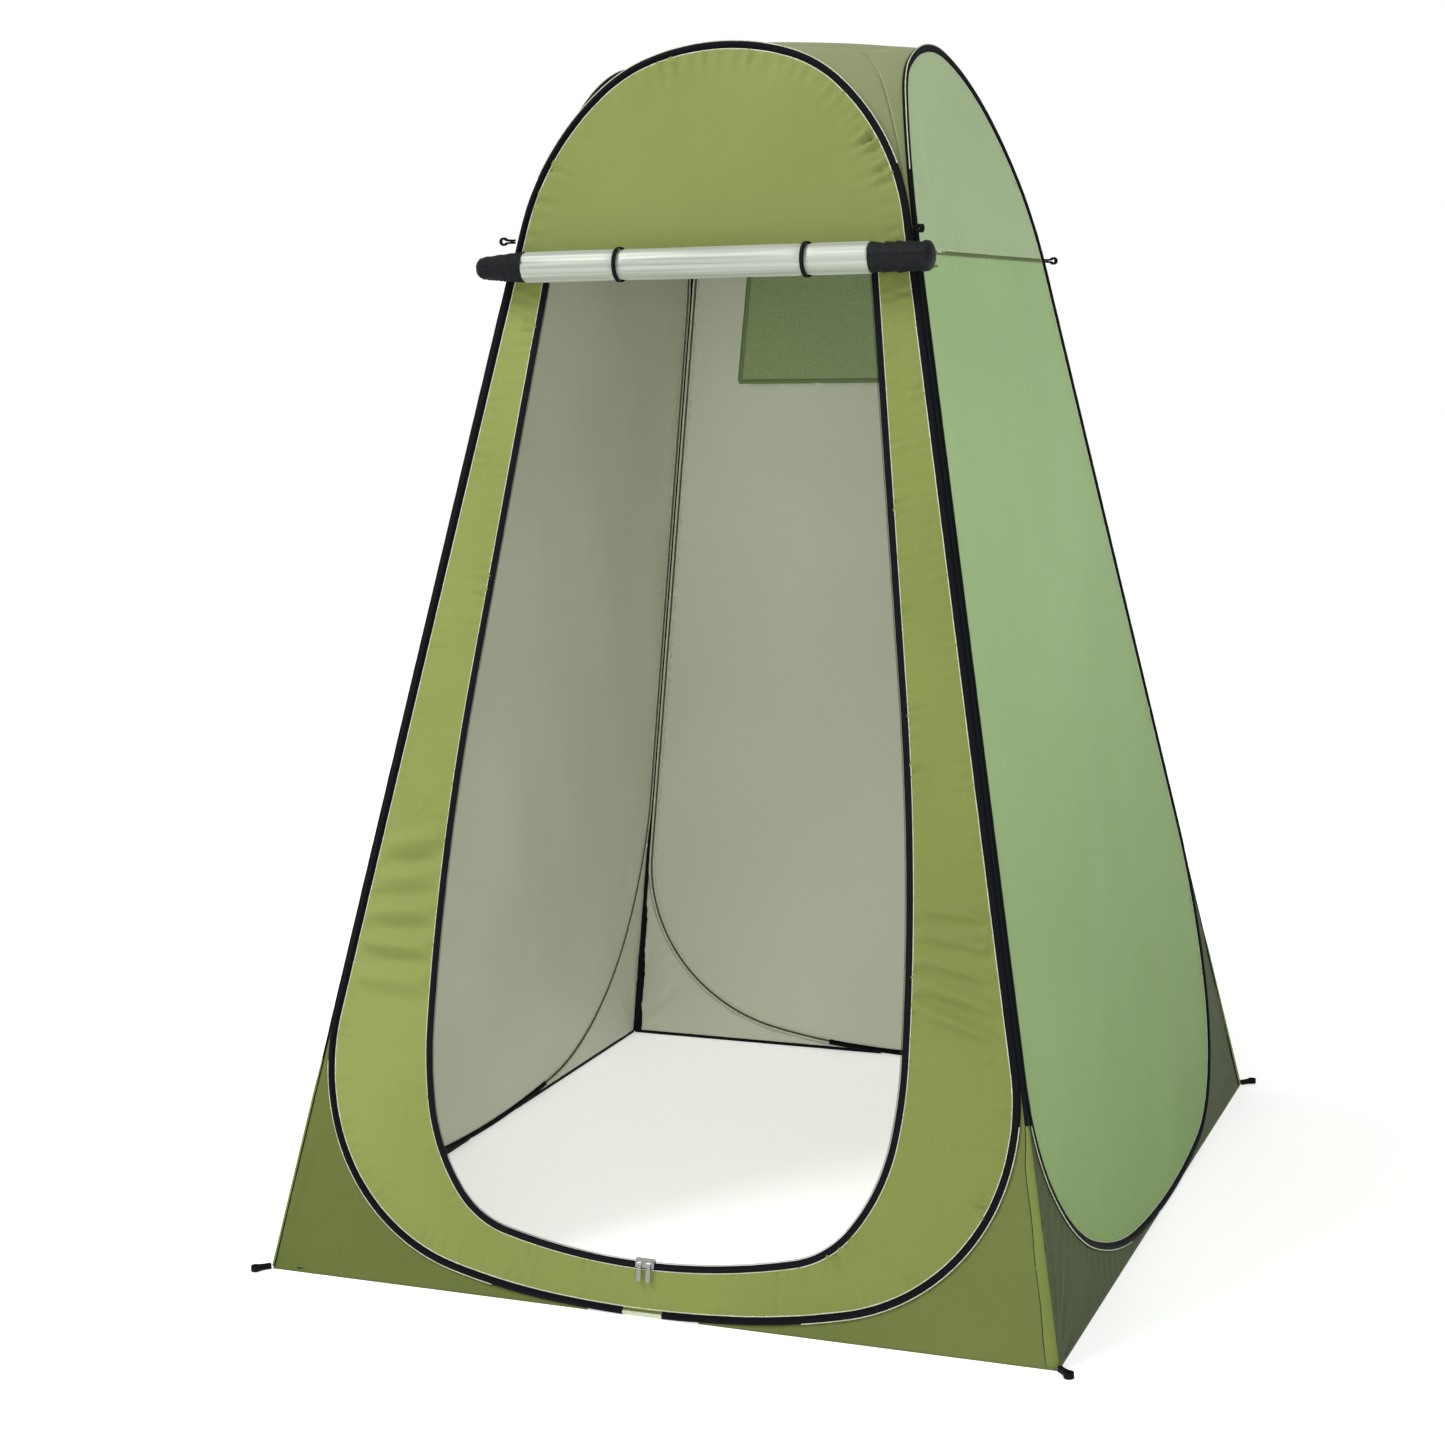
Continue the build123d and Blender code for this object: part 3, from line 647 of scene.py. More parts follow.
def swept(name, panel, line, section, looks, closed, kinds=None, swell=None, wave=None):
    """Sweeps a closed section, in (towards the middle, outwards), along a line in a panel's plane."""
    section = np.asarray(section, float)
    normal = inward(line, closed)
    swell = np.ones(len(line)) if swell is None else swell
    wave = np.zeros(len(line)) if wave is None else wave
    n, m = len(line), len(section)
    flat = line[:, None, :] + normal[:, None, :] * (section[None, :, :1] * swell[:, None, None])
    out = section[None, :, 1] * swell[:, None] + wave[:, None]
    points = panel.at(flat[..., 0], flat[..., 1], out).reshape(-1, 3)
    spans = np.linalg.norm(np.diff(line, axis=0, append=line[:1]), axis=1)
    along = np.concatenate([[0], np.cumsum(spans)[:-1]])
    edge = np.linalg.norm(np.diff(section, axis=0, append=section[:1]), axis=1)
    around = np.concatenate([[0], np.cumsum(edge)[:-1]])
    uv = np.stack(np.broadcast_arrays(along[:, None], around[None, :]), axis=-1).reshape(-1, 2)
    faces = grid_faces(n, m, looped=closed, flip=True)
    sorts = [kinds(line[i // m], section[i % m], section[(i + 1) % m]) if kinds else 0
             for i in range(len(faces))]
    if not closed:
        faces += end_faces(n, m)
        sorts += [0, 0]
    return add_mesh(name, points, faces, looks, uv, sorts)


def ring(radius_a, radius_b, count, shift=(0, 0)):
    """An oval section, anticlockwise."""
    angles = np.arange(count) * 2 * pi / count
    return np.stack([shift[0] + radius_a * np.cos(angles), shift[1] + radius_b * np.sin(angles)], axis=1)


# ---- hoop bindings ----
BLACK_HEM = 16 * MM        # below this the binding's inner half is black too


def rough(count, seed, amount):
    """A gently uneven factor along a line."""
    rng = np.random.default_rng(seed)
    steps = np.arange(count)
    total = sum(np.sin(steps * 2 * pi / rng.uniform(3, 22) + rng.uniform(0, 2 * pi)) for _ in range(6))
    return 1 + amount * total / 6


def stretch_of(line, keep):
    """The runs of a closed line where keep is true, each as an open line."""
    if keep.all():
        return [line]
    start = int(np.argmin(keep))
    line, keep = np.roll(line, -start, axis=0), np.roll(keep, -start)
    runs, run = [], []
    for point, kept in zip(line, keep):
        if kept:
            run.append(point)
        elif run:
            runs.append(np.array(run))
            run = []
    if run:
        runs.append(np.array(run))
    return [r for r in runs if len(r) > 3]


def join(name, pieces):
    """One object from several with the same materials."""
    with bpy.context.temp_override(active_object=pieces[0], selected_editable_objects=pieces):
        bpy.ops.object.join()
    pieces[0].name = name
    return pieces[0]


def binding_section():
    """The rolled tube and the stitched flange that lies over the panel's cloth."""
    tube = [(SLEEVE_R * cos(a), SLEEVE_R * sin(a)) for a in np.radians(np.linspace(14, 346, 17))]
    top = [(7.4, 0.5), (7.2, 1.0), (6.4, 1.1), (6.0, 0.6), (5.6, 1.1)]
    flange = [(a * MM, b * MM) for a, b in top]
    return [(a, -b) for a, b in flange[::-1]] + flange + tube


def hoop_binding(panel, seed):
    """The rolled black binding of one hoop, grey inside, and the pale piping sewn in beside it."""
    parting = JUNCTION * panel.slope / APEX

    def kind(point, a, b):
        """0 black outside, 1 pale and 2 dark stitching inside, 3 grey tape inside."""
        if a[1] + b[1] > -1.2 * MM or point[1] < BLACK_HEM:
            return 0
        if point[1] > parting and a[0] + b[0] < SLEEVE_R:
            return 0
        across = (a[0] + b[0]) / 2
        if across > 5 * MM:
            return 3
        return 1 if abs(across) < 2.6 * MM else 2

    line = hoop_line(panel, 4 * MM)
    run, closed = line, True
    if panel.name == "front":
        run = stretch_of(line, (np.abs(line[:, 0]) > BINDING_GAP / 2) | (line[:, 1] > 0.5))[0]
        closed = False
    tube = swept(f"{panel.name}_binding", panel, run, binding_section(),
                 ["binding", "piping", "stitch", "lining"], closed,
                 kind, rough(len(run), seed, 0.05))
    belongs(tube, panel.name, "black_binding", f"{panel.name}_hoop_sleeve")

    bead = ring(1.1 * MM, 1.0 * MM, 8, (7.9 * MM, 0.1 * MM))
    pieces = [swept("piping", panel, line, bead, ["piping"], True, None, rough(len(line), seed + 1, 0.04))]
    free = panel.edge(line[:, 1]) - np.abs(line[:, 0]) > 16 * MM
    bead = ring(1.0 * MM, 0.9 * MM, 8, (-4.3 * MM, 2.1 * MM))
    for run in stretch_of(line, free & (line[:, 1] > 24 * MM)):
        pieces.append(swept("piping", panel, run, bead, ["piping"], False))
    piping = join(f"{panel.name}_piping", pieces)
    belongs(piping, panel.name, "pale_channel")


for seed, panel in enumerate(PANELS.values()):
    hoop_binding(panel, 40 + seed)

# The short pale channel at the doorway's bottom middle, with one dark thread of stitching.
front = PANELS["front"]
hoop = hoop_line(front, 4 * MM)
gap_line = np.array([p for p in hoop if abs(p[0]) < BINDING_GAP / 2 + 3 * MM and p[1] < 0.5])
gap_line = gap_line[np.argsort(gap_line[:, 0])]
channel = ring(0.86 * SLEEVE_R, 0.8 * SLEEVE_R, 14)
belongs(swept("channel_patch", front, gap_line, channel, ["piping"], False), "front", "pale_channel",
        "front_sleeve_patch")
thread = ring(0.7 * MM, 0.5 * MM, 6, (SLEEVE_R * 0.75, SLEEVE_R * 0.62))
belongs(swept("channel_stitching", front, gap_line, thread, ["seam"], False), "front", "gusset_cloth")

# ---- panels ----
HOOP_CLOTH = -(SLEEVE_R - TUCK)


def clipped(loop, low=None, high=None):
    """A closed loop cut by level lines: only the part between two slope heights."""
    result = loop
    for limit, sign in ((low, 1), (high, -1)):
        if limit is None:
            continue
        kept = []
        for p, q in zip(result, np.roll(result, -1, axis=0)):
            a, b = sign * (p[1] - limit), sign * (q[1] - limit)
            if a >= 0:
                kept.append(p)
            if a * b < 0:
                kept.append(p + (q - p) * a / (a - b))
        result = np.array(kept)
    dense = []
    for p, q in zip(result, np.roll(result, -1, axis=0)):
        pieces = max(1, int(np.linalg.norm(q - p) / (8 * MM)))
        dense += [p + (q - p) * k / pieces for k in range(pieces)]
    return np.array(dense)


# Packed-in folds of the doorway's two strips. For each strip: its side, the slope height of its top fold
# and the step down, that fold's rise and its change, and the ranges of width and depth in mm.
STRIP_FOLDS = 5
STRIPS = ((-1, 688 * MM, 54 * MM, 26 * MM, -10 * MM, (12, 17), (9, 12)),
          (1, 634 * MM, 40 * MM, -8 * MM, -11 * MM, (7, 10), (5, 7.5)))


def strip_creases(points, away, along):
    """The folds across the two strips, with finer ones scattered between them."""
    rng = np.random.default_rng(7)
    high = np.zeros(len(points))
    for side, top, drop, rise, turn, wide, deep in STRIPS:
        for k in range(STRIP_FOLDS):
            middle, half_rise = top - drop * k, (rise + turn * k) / 2
            inner, outer = 378 * MM, front.edge(middle) - 6 * MM
            start, end = sorted((side * inner, side * outer))
            width = rng.uniform(*wide) * MM
            high += crease(points, (start, middle - half_rise), (end, middle + half_rise), width,
                           rng.uniform(*deep) * MM)
    for sign, top in ((-1, 0.79), (1, 0.7)):
        for k in range(7):
            s = top - 0.05 * k + rng.uniform(-14, 14) * MM
            x = sign * (front.edge(s) - rng.uniform(30, 80) * MM)
            reach = rng.uniform(25, 50) * MM
            high += crease(points, (x, s), (x + reach, s + rng.uniform(-45, 45) * MM), 4 * MM, 1.3 * MM)
    return high * smooth((away - 4 * MM) / (14 * MM))


def shoulder_puckers(points, away, along):
    """Gathers along the header's binding, strongest on its two shoulders."""
    shoulder = smooth((points[:, 1] - 1.66) / 0.1) * (0.5 + 0.5 * smooth(np.abs(points[:, 0]) / 0.1))
    return shoulder * puckers(away, along, points, 83, 3.0 * MM, 24 * MM)


def pulled_fold(points, away, along):
    """The soft upright fold down the leading side of a side panel's upper part."""
    return crease(points, (-0.215, 1.89), (-0.275, 1.56), 15 * MM, 4.0 * MM)


def pulled_fold_mirrored(points, away, along):
    return pulled_fold(points * (-1, 1), away, along)


hoop_inner = {name: grown(hoop_line(panel, 5 * MM), HOOP_CLOTH) for name, panel in PANELS.items()}
cloth_sheet("header_sheet", front, [clipped(hoop_inner["front"], low=DOOR_TOP)], "header", "front",
            "front_header", "front_cloth", 6 * MM, 3, relief=shoulder_puckers)
surround = clipped(hoop_inner["front"], high=DOOR_TOP)


def surround_loop():
    """The U of cloth round the doorway as one outline."""
    door = door_line(5 * MM)
    top_right = np.array((door[0, 0], DOOR_TOP))
    top_left = np.array((door[-1, 0], DOOR_TOP))
    outer = [p for p in surround if p[1] < DOOR_TOP - 1 * MM]
    order = sorted(range(len(outer)), key=lambda k: np.arctan2(outer[k][0], 0.8 - outer[k][1]))
    outer = [outer[k] for k in order]
    ends = [np.array((-abs(outer[0][0]), DOOR_TOP)), np.array((abs(outer[-1][0]), DOOR_TOP))]
    inner = [p for p in door if p[1] < DOOR_TOP - 1 * MM]
    level = [top_right, *inner, top_left]
    return clipped(np.array([ends[0], *outer, ends[1], *level]))


cloth_sheet("surround_sheet", front, [surround_loop()], "front", "front", "front_surround",
            "front_cloth", 5 * MM, 9, relief=strip_creases, sag=1.6 * MM,
            strip=float(np.linalg.norm(np.diff(door_line(), axis=0), axis=1).sum()))


def cross_seam(panel, s):
    """A flat-felled seam across a panel: a doubled strip with two rows of stitching."""
    half, count = panel.edge(s, 9 * MM), 160
    line = np.stack([np.linspace(-half, half, count), np.full(count, s)], axis=1)
    section = [(a * MM, b * MM) for a, b in (
        (-3.1, -0.7), (3.1, -0.7), (3.2, 0.5), (2.4, 0.75), (2.0, 0.55), (1.6, 0.85), (-1.6, 0.85),
        (-2.0, 0.55), (-2.4, 0.75), (-3.2, 0.5))]
    strip = swept(f"{panel.name}_cross_seam", panel, line, section, ["seam"], False, None,
                  rough(count, 5, 0.05))
    belongs(strip, panel.name, "side_cloth")


for name, seam, fold in (("right", SIDE_SEAM, pulled_fold), ("left", SIDE_SEAM, pulled_fold_mirrored),
                         ("back", BACK_SEAM, None)):
    panel = PANELS[name]
    cloth_sheet(f"{name}_upper_sheet", panel, [clipped(hoop_inner[name], low=seam)], "upper", name,
                f"{name}_upper_panel", "upper_cloth", 8 * MM, 21, relief=fold)
    holes = [window_loop(WINDOW_BINDING / 2)] if name == "back" else []
    cloth_sheet(f"{name}_lower_sheet", panel, [clipped(hoop_inner[name], high=seam)] + holes, "side", name,
                f"{name}_lower_panel", "back_cloth" if name == "back" else "side_cloth", 10 * MM, 27,
                sag=3.0 * MM)
    cross_seam(panel, seam)

# ---- gussets ----


def gusset_loop(panel, sign):
    """A corner gusset: under the hoop, out to the corner edge and down to the ground."""
    line = grown(hoop_line(panel, 4 * MM), SLEEVE_R - TUCK)
    side = line[(line[:, 0] - panel.touch[0] * MM) * sign > 0]
    side = side[(side[:, 1] > 3.2 * MM) & (side[:, 1] < GUSSET_TOP)]
    side = side[panel.edge(side[:, 1], 2.2 * MM) - np.abs(side[:, 0]) > 0.6 * MM]
    side = side[np.argsort(side[:, 1])]
    top = side[-1, 1]
    corner = np.array((sign * panel.edge(HEM, 1.5 * MM), HEM))
    tip = np.array((sign * panel.edge(top, 1.5 * MM), top))
    start = np.array((side[0, 0] - sign * 2 * MM, HEM))
    loop = np.vstack([[start, corner, tip], side[::-1]])
    return clipped(loop if sign > 0 else loop[::-1])


def gusset_relief(corner):
    """Pull lines that run up from the stake corner."""
    def relief(points, away, along):
        rng = np.random.default_rng(17)
        high = np.zeros(len(points))
        for k in range(5):
            angle = radians(18 + 15 * k + rng.uniform(-5, 5))
            length = rng.uniform(0.1, 0.24)
            reach = np.array((-np.sign(corner[0]) * cos(angle), sin(angle))) * length
            high += crease(points, corner + reach * 0.15, corner + reach, 8 * MM,
                           rng.uniform(1.0, 2.0) * MM)
        return high * smooth(away / (12 * MM))
    return relief


HEM_POINTS, HEM_MIDDLE = 90, 3.6 * MM
for name, panel in PANELS.items():
    for side, sign in (("left", -1), ("right", 1)):
        loop = gusset_loop(panel, sign)
        corner = np.array((sign * panel.edge(0), 0.0))
        # The side and back gussets take the darker copy of the gusset cloth, with painted shade.
        cloth_sheet(f"{name}_gusset_{side}_sheet", panel, [loop], "gusset" if name == "front" else "shaded",
                    name, f"{name}_gusset_{side}", "gusset_cloth", 7 * MM, 31 + sign,
                    relief=gusset_relief(corner), sag=1.4 * MM, gather=0.7 * MM)
        start = loop[np.argmin(np.abs(loop[:, 0]))][0]
        reach = np.linspace(start, sign * panel.edge(0, 3 * MM), HEM_POINTS)
        hem = np.stack([reach, np.full(HEM_POINTS, HEM_MIDDLE)], axis=1)
        section = [(a * MM, b * MM) for a, b in ((-3.2, -1.3), (3.2, -1.3), (3.4, -0.3), (-3.4, -0.3))]
        strip = swept(f"{name}_hem_{side}", panel, hem, section, ["tape"], False, None,
                      rough(HEM_POINTS, 6, 0.05))
        belongs(strip, name, "black_tape")

# ---- roof: one curved sheet, sewn to the four arches ----
ROOF_RINGS = 34
ROOF_SPOKES = 72
ROOF_ORDER = ["front", "right", "back", "left"]


def arch_points(panel):
    """A panel's arch from its left-hand junction over the crown to its right-hand junction."""
    base = JUNCTION * panel.slope / APEX
    line = hoop_line(panel, 2 * MM)
    high = line[line[:, 1] > base]
    high = high[np.argsort(-np.arctan2(high[:, 1] - base + 0.05, high[:, 0]))]
    places = panel.at(high[:, 0], high[:, 1], -0.35 * SLEEVE_R)
    return even(places, np.linalg.norm(np.diff(places, axis=0), axis=1).sum() / ROOF_SPOKES)


def level_place(arch, side, heights):
    """Where one side of an arch crosses each height, in plan."""
    crown = int(np.argmax(arch[:, 2]))
    part = arch[crown:][::-1] if side > 0 else arch[:crown + 1]
    order = np.argsort(part[:, 2])
    return np.stack([np.interp(heights, part[order, 2], part[order, k]) for k in (0, 1)], axis=1)


def corner_height(plan, arch, after):
    """Height of the cloth pulled straight, level by level, from one arch to the next."""
    low = max(arch[-1, 2], after[0, 2])
    heights = np.linspace(low + 2 * MM, min(arch[:, 2].max(), after[:, 2].max()) - 0.5 * MM, 90)
    a, b = level_place(arch, 1, heights), level_place(after, -1, heights)
    ahead, middle = b - a, -(a + b) / 2
    inner = np.sign(ahead[:, 0] * middle[:, 1] - ahead[:, 1] * middle[:, 0])
    off = plan[:, None, :] - a[None]
    past = (ahead[:, 0] * off[..., 1] - ahead[:, 1] * off[..., 0]) * inner < 0
    size = np.linalg.norm(ahead, axis=1)
    gap = (ahead[:, 0] * off[..., 1] - ahead[:, 1] * off[..., 0]) * inner / size
    first = np.argmax(past, axis=1)
    before = np.maximum(first - 1, 0)
    rows = np.arange(len(plan))
    g0, g1 = gap[rows, before], gap[rows, first]
    share = np.where(first > 0, g0 / np.where(g0 == g1, 1, g0 - g1), 0)
    found = heights[before] + (heights[first] - heights[before]) * share
    beyond = heights[-1] + 0.8 * np.maximum(gap[:, -1], 0)
    return np.where(past.any(axis=1), found, beyond)


def roof_sheet():
    """Rings from the hub out to the arches: straight from arch to arch, domed between the crowns."""
    arches = [arch_points(PANELS[name]) for name in ROOF_ORDER]
    corners = [(arches[k][-1] + arches[(k + 1) % 4][0]) / 2 for k in range(4)]
    for k in range(4):
        arches[k][-1] = corners[k]
        arches[(k + 1) % 4][0] = corners[k]
    rim = np.vstack([a[:-1] for a in arches])
    crown_y, crown_x = -arches[0][:, 1].max(), arches[1][:, 0].min()
    crown_z = arches[0][:, 2].max()
    rings = []
    for k in range(ROOF_RINGS + 1):
        r = (k / ROOF_RINGS) ** 0.85
        points = rim * (r, r, 1)
        plan = points[:, :2]
        dome = ROOF_HUB - (ROOF_HUB - crown_z) * ((plan[:, 0] / crown_x) ** 2 + (plan[:, 1] / crown_y) ** 2)
        height = np.min([corner_height(plan, arches[c], arches[(c + 1) % 4]) for c in range(4)], axis=0)
        soft = 9 * MM * smooth((1 - r) / 0.3) + 0.2 * MM
        level = crown_z - soft * np.logaddexp((crown_z - height) / soft, (crown_z - dome) / soft)
        ripple = 0.6 * MM * waves(plan, 91, 0.3, 0.12) * smooth(r * (1 - r) * 9)
        if k < ROOF_RINGS:
            points[:, 2] = level + ripple
        rings.append(points)
    rings[0][:] = (0, 0, rings[0][:, 2].mean())
    return np.array(rings), [len(a) - 1 for a in arches]


def make_roof():
    rings, counts = roof_sheet()
    start = 0
    for name, count in zip(ROOF_ORDER, counts):
        panel = PANELS[name]
        ids = [(start + k) % rings.shape[1] for k in range(count + 1)]
        part = rings[:, ids]
        points = part[1:].reshape(-1, 3)
        width = count + 1
        hub = len(points)
        points = np.vstack([points, rings[0, 0][None]])
        faces = [(hub, k, k + 1) for k in range(count)]
        faces += grid_faces(ROOF_RINGS, width, closed=False, flip=True)
        flat = (points - panel.origin) @ np.stack([panel.across, panel.up], axis=1)
        obj = add_mesh(f"roof_{name}_sheet", points, faces, ["roof", "lining"], flat)
        thicken(obj, CLOTH)
        a, b, c = points[np.array([f[:3] for f in faces]).T]
        area = np.linalg.norm(np.cross(b - a, c - a), axis=1)
        area = float(area[:count].sum() / 2 + area[count:].sum())
        belongs(obj, name, "roof_cloth", f"roof_{name}")
        tuple(panel.at(0, 1.7, -0.5 * SLEEVE_R))
        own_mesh(obj)
        start += count


make_roof()

# ---- doorway zip ----
TAPE_THICK = 1.0 * MM
COIL_PITCH, COIL_POINTS = 2.4 * MM, 6


def door_zip():
    """The black zip tape round the doorway, its pale stitched edge, and the coil on its inner edge."""
    line = door_line(5 * MM)[::-1]
    half, outer = TAPE_WIDTH / 2, TAPE_WIDTH / 2 + 1.2 * MM
    t = TAPE_THICK
    section = [(-outer, -t), (half, -t), (half + 0.2 * MM, 0), (half, t), (half * 0.55, t * 1.25),
               (half * 0.45, t * 0.95), (half * 0.35, t * 1.25), (-outer * 0.6, t * 1.25),
               (-outer * 0.7, t * 0.95), (-outer * 0.8, t * 1.2), (-outer, t), (-outer - 0.2 * MM, 0)]
    tape = swept("zip_tape", front, line, section, ["tape"], False, None, rough(len(line), 61, 0.03))
    belongs(tape, "front", "black_tape", "door_zip_tape")
    bead = ring(0.9 * MM, 0.8 * MM, 8, (-outer - 0.8 * MM, 0.3 * MM))
    belongs(swept("zip_tape_piping", front, line, bead, ["piping"], False), "front", "pale_channel")

    fine = even(line, COIL_PITCH / COIL_POINTS)
    fine = fine[fine[:, 1] < DOOR_TOP - 20 * MM]
    turn = np.arange(len(fine)) * 2 * pi / COIL_POINTS
    reach = TAPE_WIDTH / 2 + 0.4 * MM + COIL_WIDTH / 2
    spine = fine + inward(fine, False) * (reach + 0.95 * MM * np.cos(turn))[:, None]
    height = 0.72 * MM * np.sin(turn)
    coil = swept("zip_coil", front, spine, ring(0.36 * MM, 0.36 * MM, 4), ["coil"], False, wave=height)
    belongs(coil, "front", "zip_coil", "door_zip_coil")


door_zip()

# ---- rolled door ----
ROLL_POINTS = 72


def rolled(name, places, radius, look, node, slot):
    """A piece of the roll, about its middle line: radius is a function of place and angle."""
    angles = np.arange(ROLL_POINTS) * 2 * pi / ROLL_POINTS
    x, a = np.meshgrid(places, angles, indexing="ij")
    r = radius(x, a)
    points = front.at(x, DOOR_TOP + r * np.sin(a), ROLL_OUT + r * np.cos(a)).reshape(-1, 3)
    uv = np.stack([x, a * ROLL_R], axis=-1).reshape(-1, 2)
    faces = grid_faces(len(places), ROLL_POINTS) + end_faces(len(places), ROLL_POINTS)
    obj = add_mesh(name, points, faces, [look], uv)
    belongs(obj, "door", slot, node)
    tuple(front.at(0, DOOR_TOP, ROLL_OUT - ROLL_R))
    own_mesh(obj)


def silver_radius(x, a):
    """The outer turn laps over itself behind the roll's top, and is nipped in under the ties."""
    lap = 1.3 * MM * ((a - 0.75 * pi) % (2 * pi)) / (2 * pi)
    nip = sum(1.6 * MM * np.exp(-((x - tie) / (9 * MM)) ** 2) for tie in TIES.values())
    slack = 0.35 * MM * np.sin(5 * a + 3 * np.sin(x * 9)) + 0.25 * MM * np.sin(9 * a - 14 * x)
    return ROLL_R - lap - nip + slack


def left_end_radius(x, a):
    """Zip tape and coil wound into a tapered, ribbed end with a rounded tip."""
    t = np.clip((ROLL_SILVER[0] - x) / (ROLL_SILVER[0] - ROLL_ENDS[0]), 0, 1)
    body = 23.0 * MM - 7.5 * MM * t ** 1.3
    tip = np.sqrt(np.clip(1 - ((t - 0.86) / 0.14).clip(0, 1) ** 2, 0, 1))
    ribs = 0.75 * MM * np.sin(2 * pi * x / (5.2 * MM) + a) + 0.45 * MM * np.sin(7 * a + x * 300)
    return (body + ribs) * (0.12 + 0.88 * tip)


def right_end_radius(x, a):
    """Binding tape wound in five overlapping turns, each a little askew."""
    t = (x - ROLL_SILVER[1]) / (ROLL_ENDS[1] - ROLL_SILVER[1])
    lean = x + 2.6 * MM * np.cos(a + 9 * t)
    turn = ((lean - ROLL_SILVER[1]) / (19.8 * MM)) % 1.0
    body = 23.8 * MM - 2.8 * MM * turn + 0.5 * MM * np.sin(11 * t + 2 * a)
    groove = -1.5 * MM * np.exp(-((turn - 0.02) / 0.05) ** 2)
    tip = np.sqrt(np.clip(1 - ((t - 0.9) / 0.1).clip(0, 1) ** 2, 0, 1))
    return (body + groove) * (0.12 + 0.88 * tip)


rolled("silver_roll", np.linspace(*ROLL_SILVER, 150), silver_radius, "silver", "door_roll", "door_lining")
rolled("wound_end_left", np.linspace(ROLL_ENDS[0], ROLL_SILVER[0] + 1.5 * MM, 130), left_end_radius,
       "wound", "roll_end_left", "roll_tape")
rolled("wound_end_right", np.linspace(ROLL_SILVER[1] - 1.0 * MM, ROLL_ENDS[1], 130), right_end_radius,
       "wound", "roll_end_right", "roll_tape")


def tie(side, x):
    """A webbing loop round the roll, sewn to the header just above it."""
    n = 90
    inner = ROLL_R + 0.9 * MM
    outer, half = inner + 1.3 * MM, TIE_WIDTH / 2
    section = ((inner, -half), (inner, half), (outer, half), (outer + 0.25 * MM, 0), (outer, -half))
    stations = np.array([(x + w, DOOR_TOP + r * sin(a), ROLL_OUT + r * cos(a))
                         for a in np.linspace(radians(118), radians(118 - 338), n) for r, w in section])
    uv = np.stack([np.repeat(np.arange(n) * 2.4 * MM, len(section)), stations[:, 0]], axis=1)
    faces = grid_faces(n, len(section)) + end_faces(n, len(section))
    obj = add_mesh(f"tie_{side}", front.at(*stations.T), faces, ["strap"], uv)
    belongs(obj, "front", "black_webbing", f"tie_loop_{side}")
    tuple(front.at(x, DOOR_TOP, 3.6 * MM))
    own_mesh(obj)


for side, x in TIES.items():
    tie(side, x)


def door_half(s):
    """Half width of the doorway at a slope height."""
    line = door_line(5 * MM)
    right = line[line[:, 0] > 0]
    right = right[np.argsort(right[:, 1])]
    return np.interp(s, right[:, 1], right[:, 0])


def door_curtain():
    """The top of the door, gathered behind the roll at rest, no wider than the doorway where it would be
    drawn down to.
    """
    rows, columns = 90, 60
    t, u = np.linspace(0, 1, rows)[:, None], np.linspace(-1, 1, columns)
    down = smooth(t) * DOOR_TRAVEL
    low, high = CURTAIN
    rest = high - t * (high - low)
    half = np.minimum(door_half(rest - down) - 1 * MM, CURTAIN_HALF)
    x, s = np.broadcast_arrays(half * u, rest)
    sewn, free = CURTAIN_OUT
    b = sewn + (free - sewn) * smooth(t / 0.3) + 0.12 * MM * np.sin(6 * pi * u) * np.sin(pi * t)
    uv = np.stack([x, s - down], axis=-1).reshape(-1, 2)
    obj = add_mesh("door_curtain_sheet", front.at(x, s, b).reshape(-1, 3),
                   grid_faces(rows, columns, closed=False, flip=True), ["front", "lining"], uv)
    thicken(obj, CLOTH * 0.6)
    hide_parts("door_curtain")
    tuple(front.at(0, high))
    tuple(front.at(0, low))
    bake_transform(obj)


door_curtain()

# ---- back window ----
NET_PITCH = 4 * MM


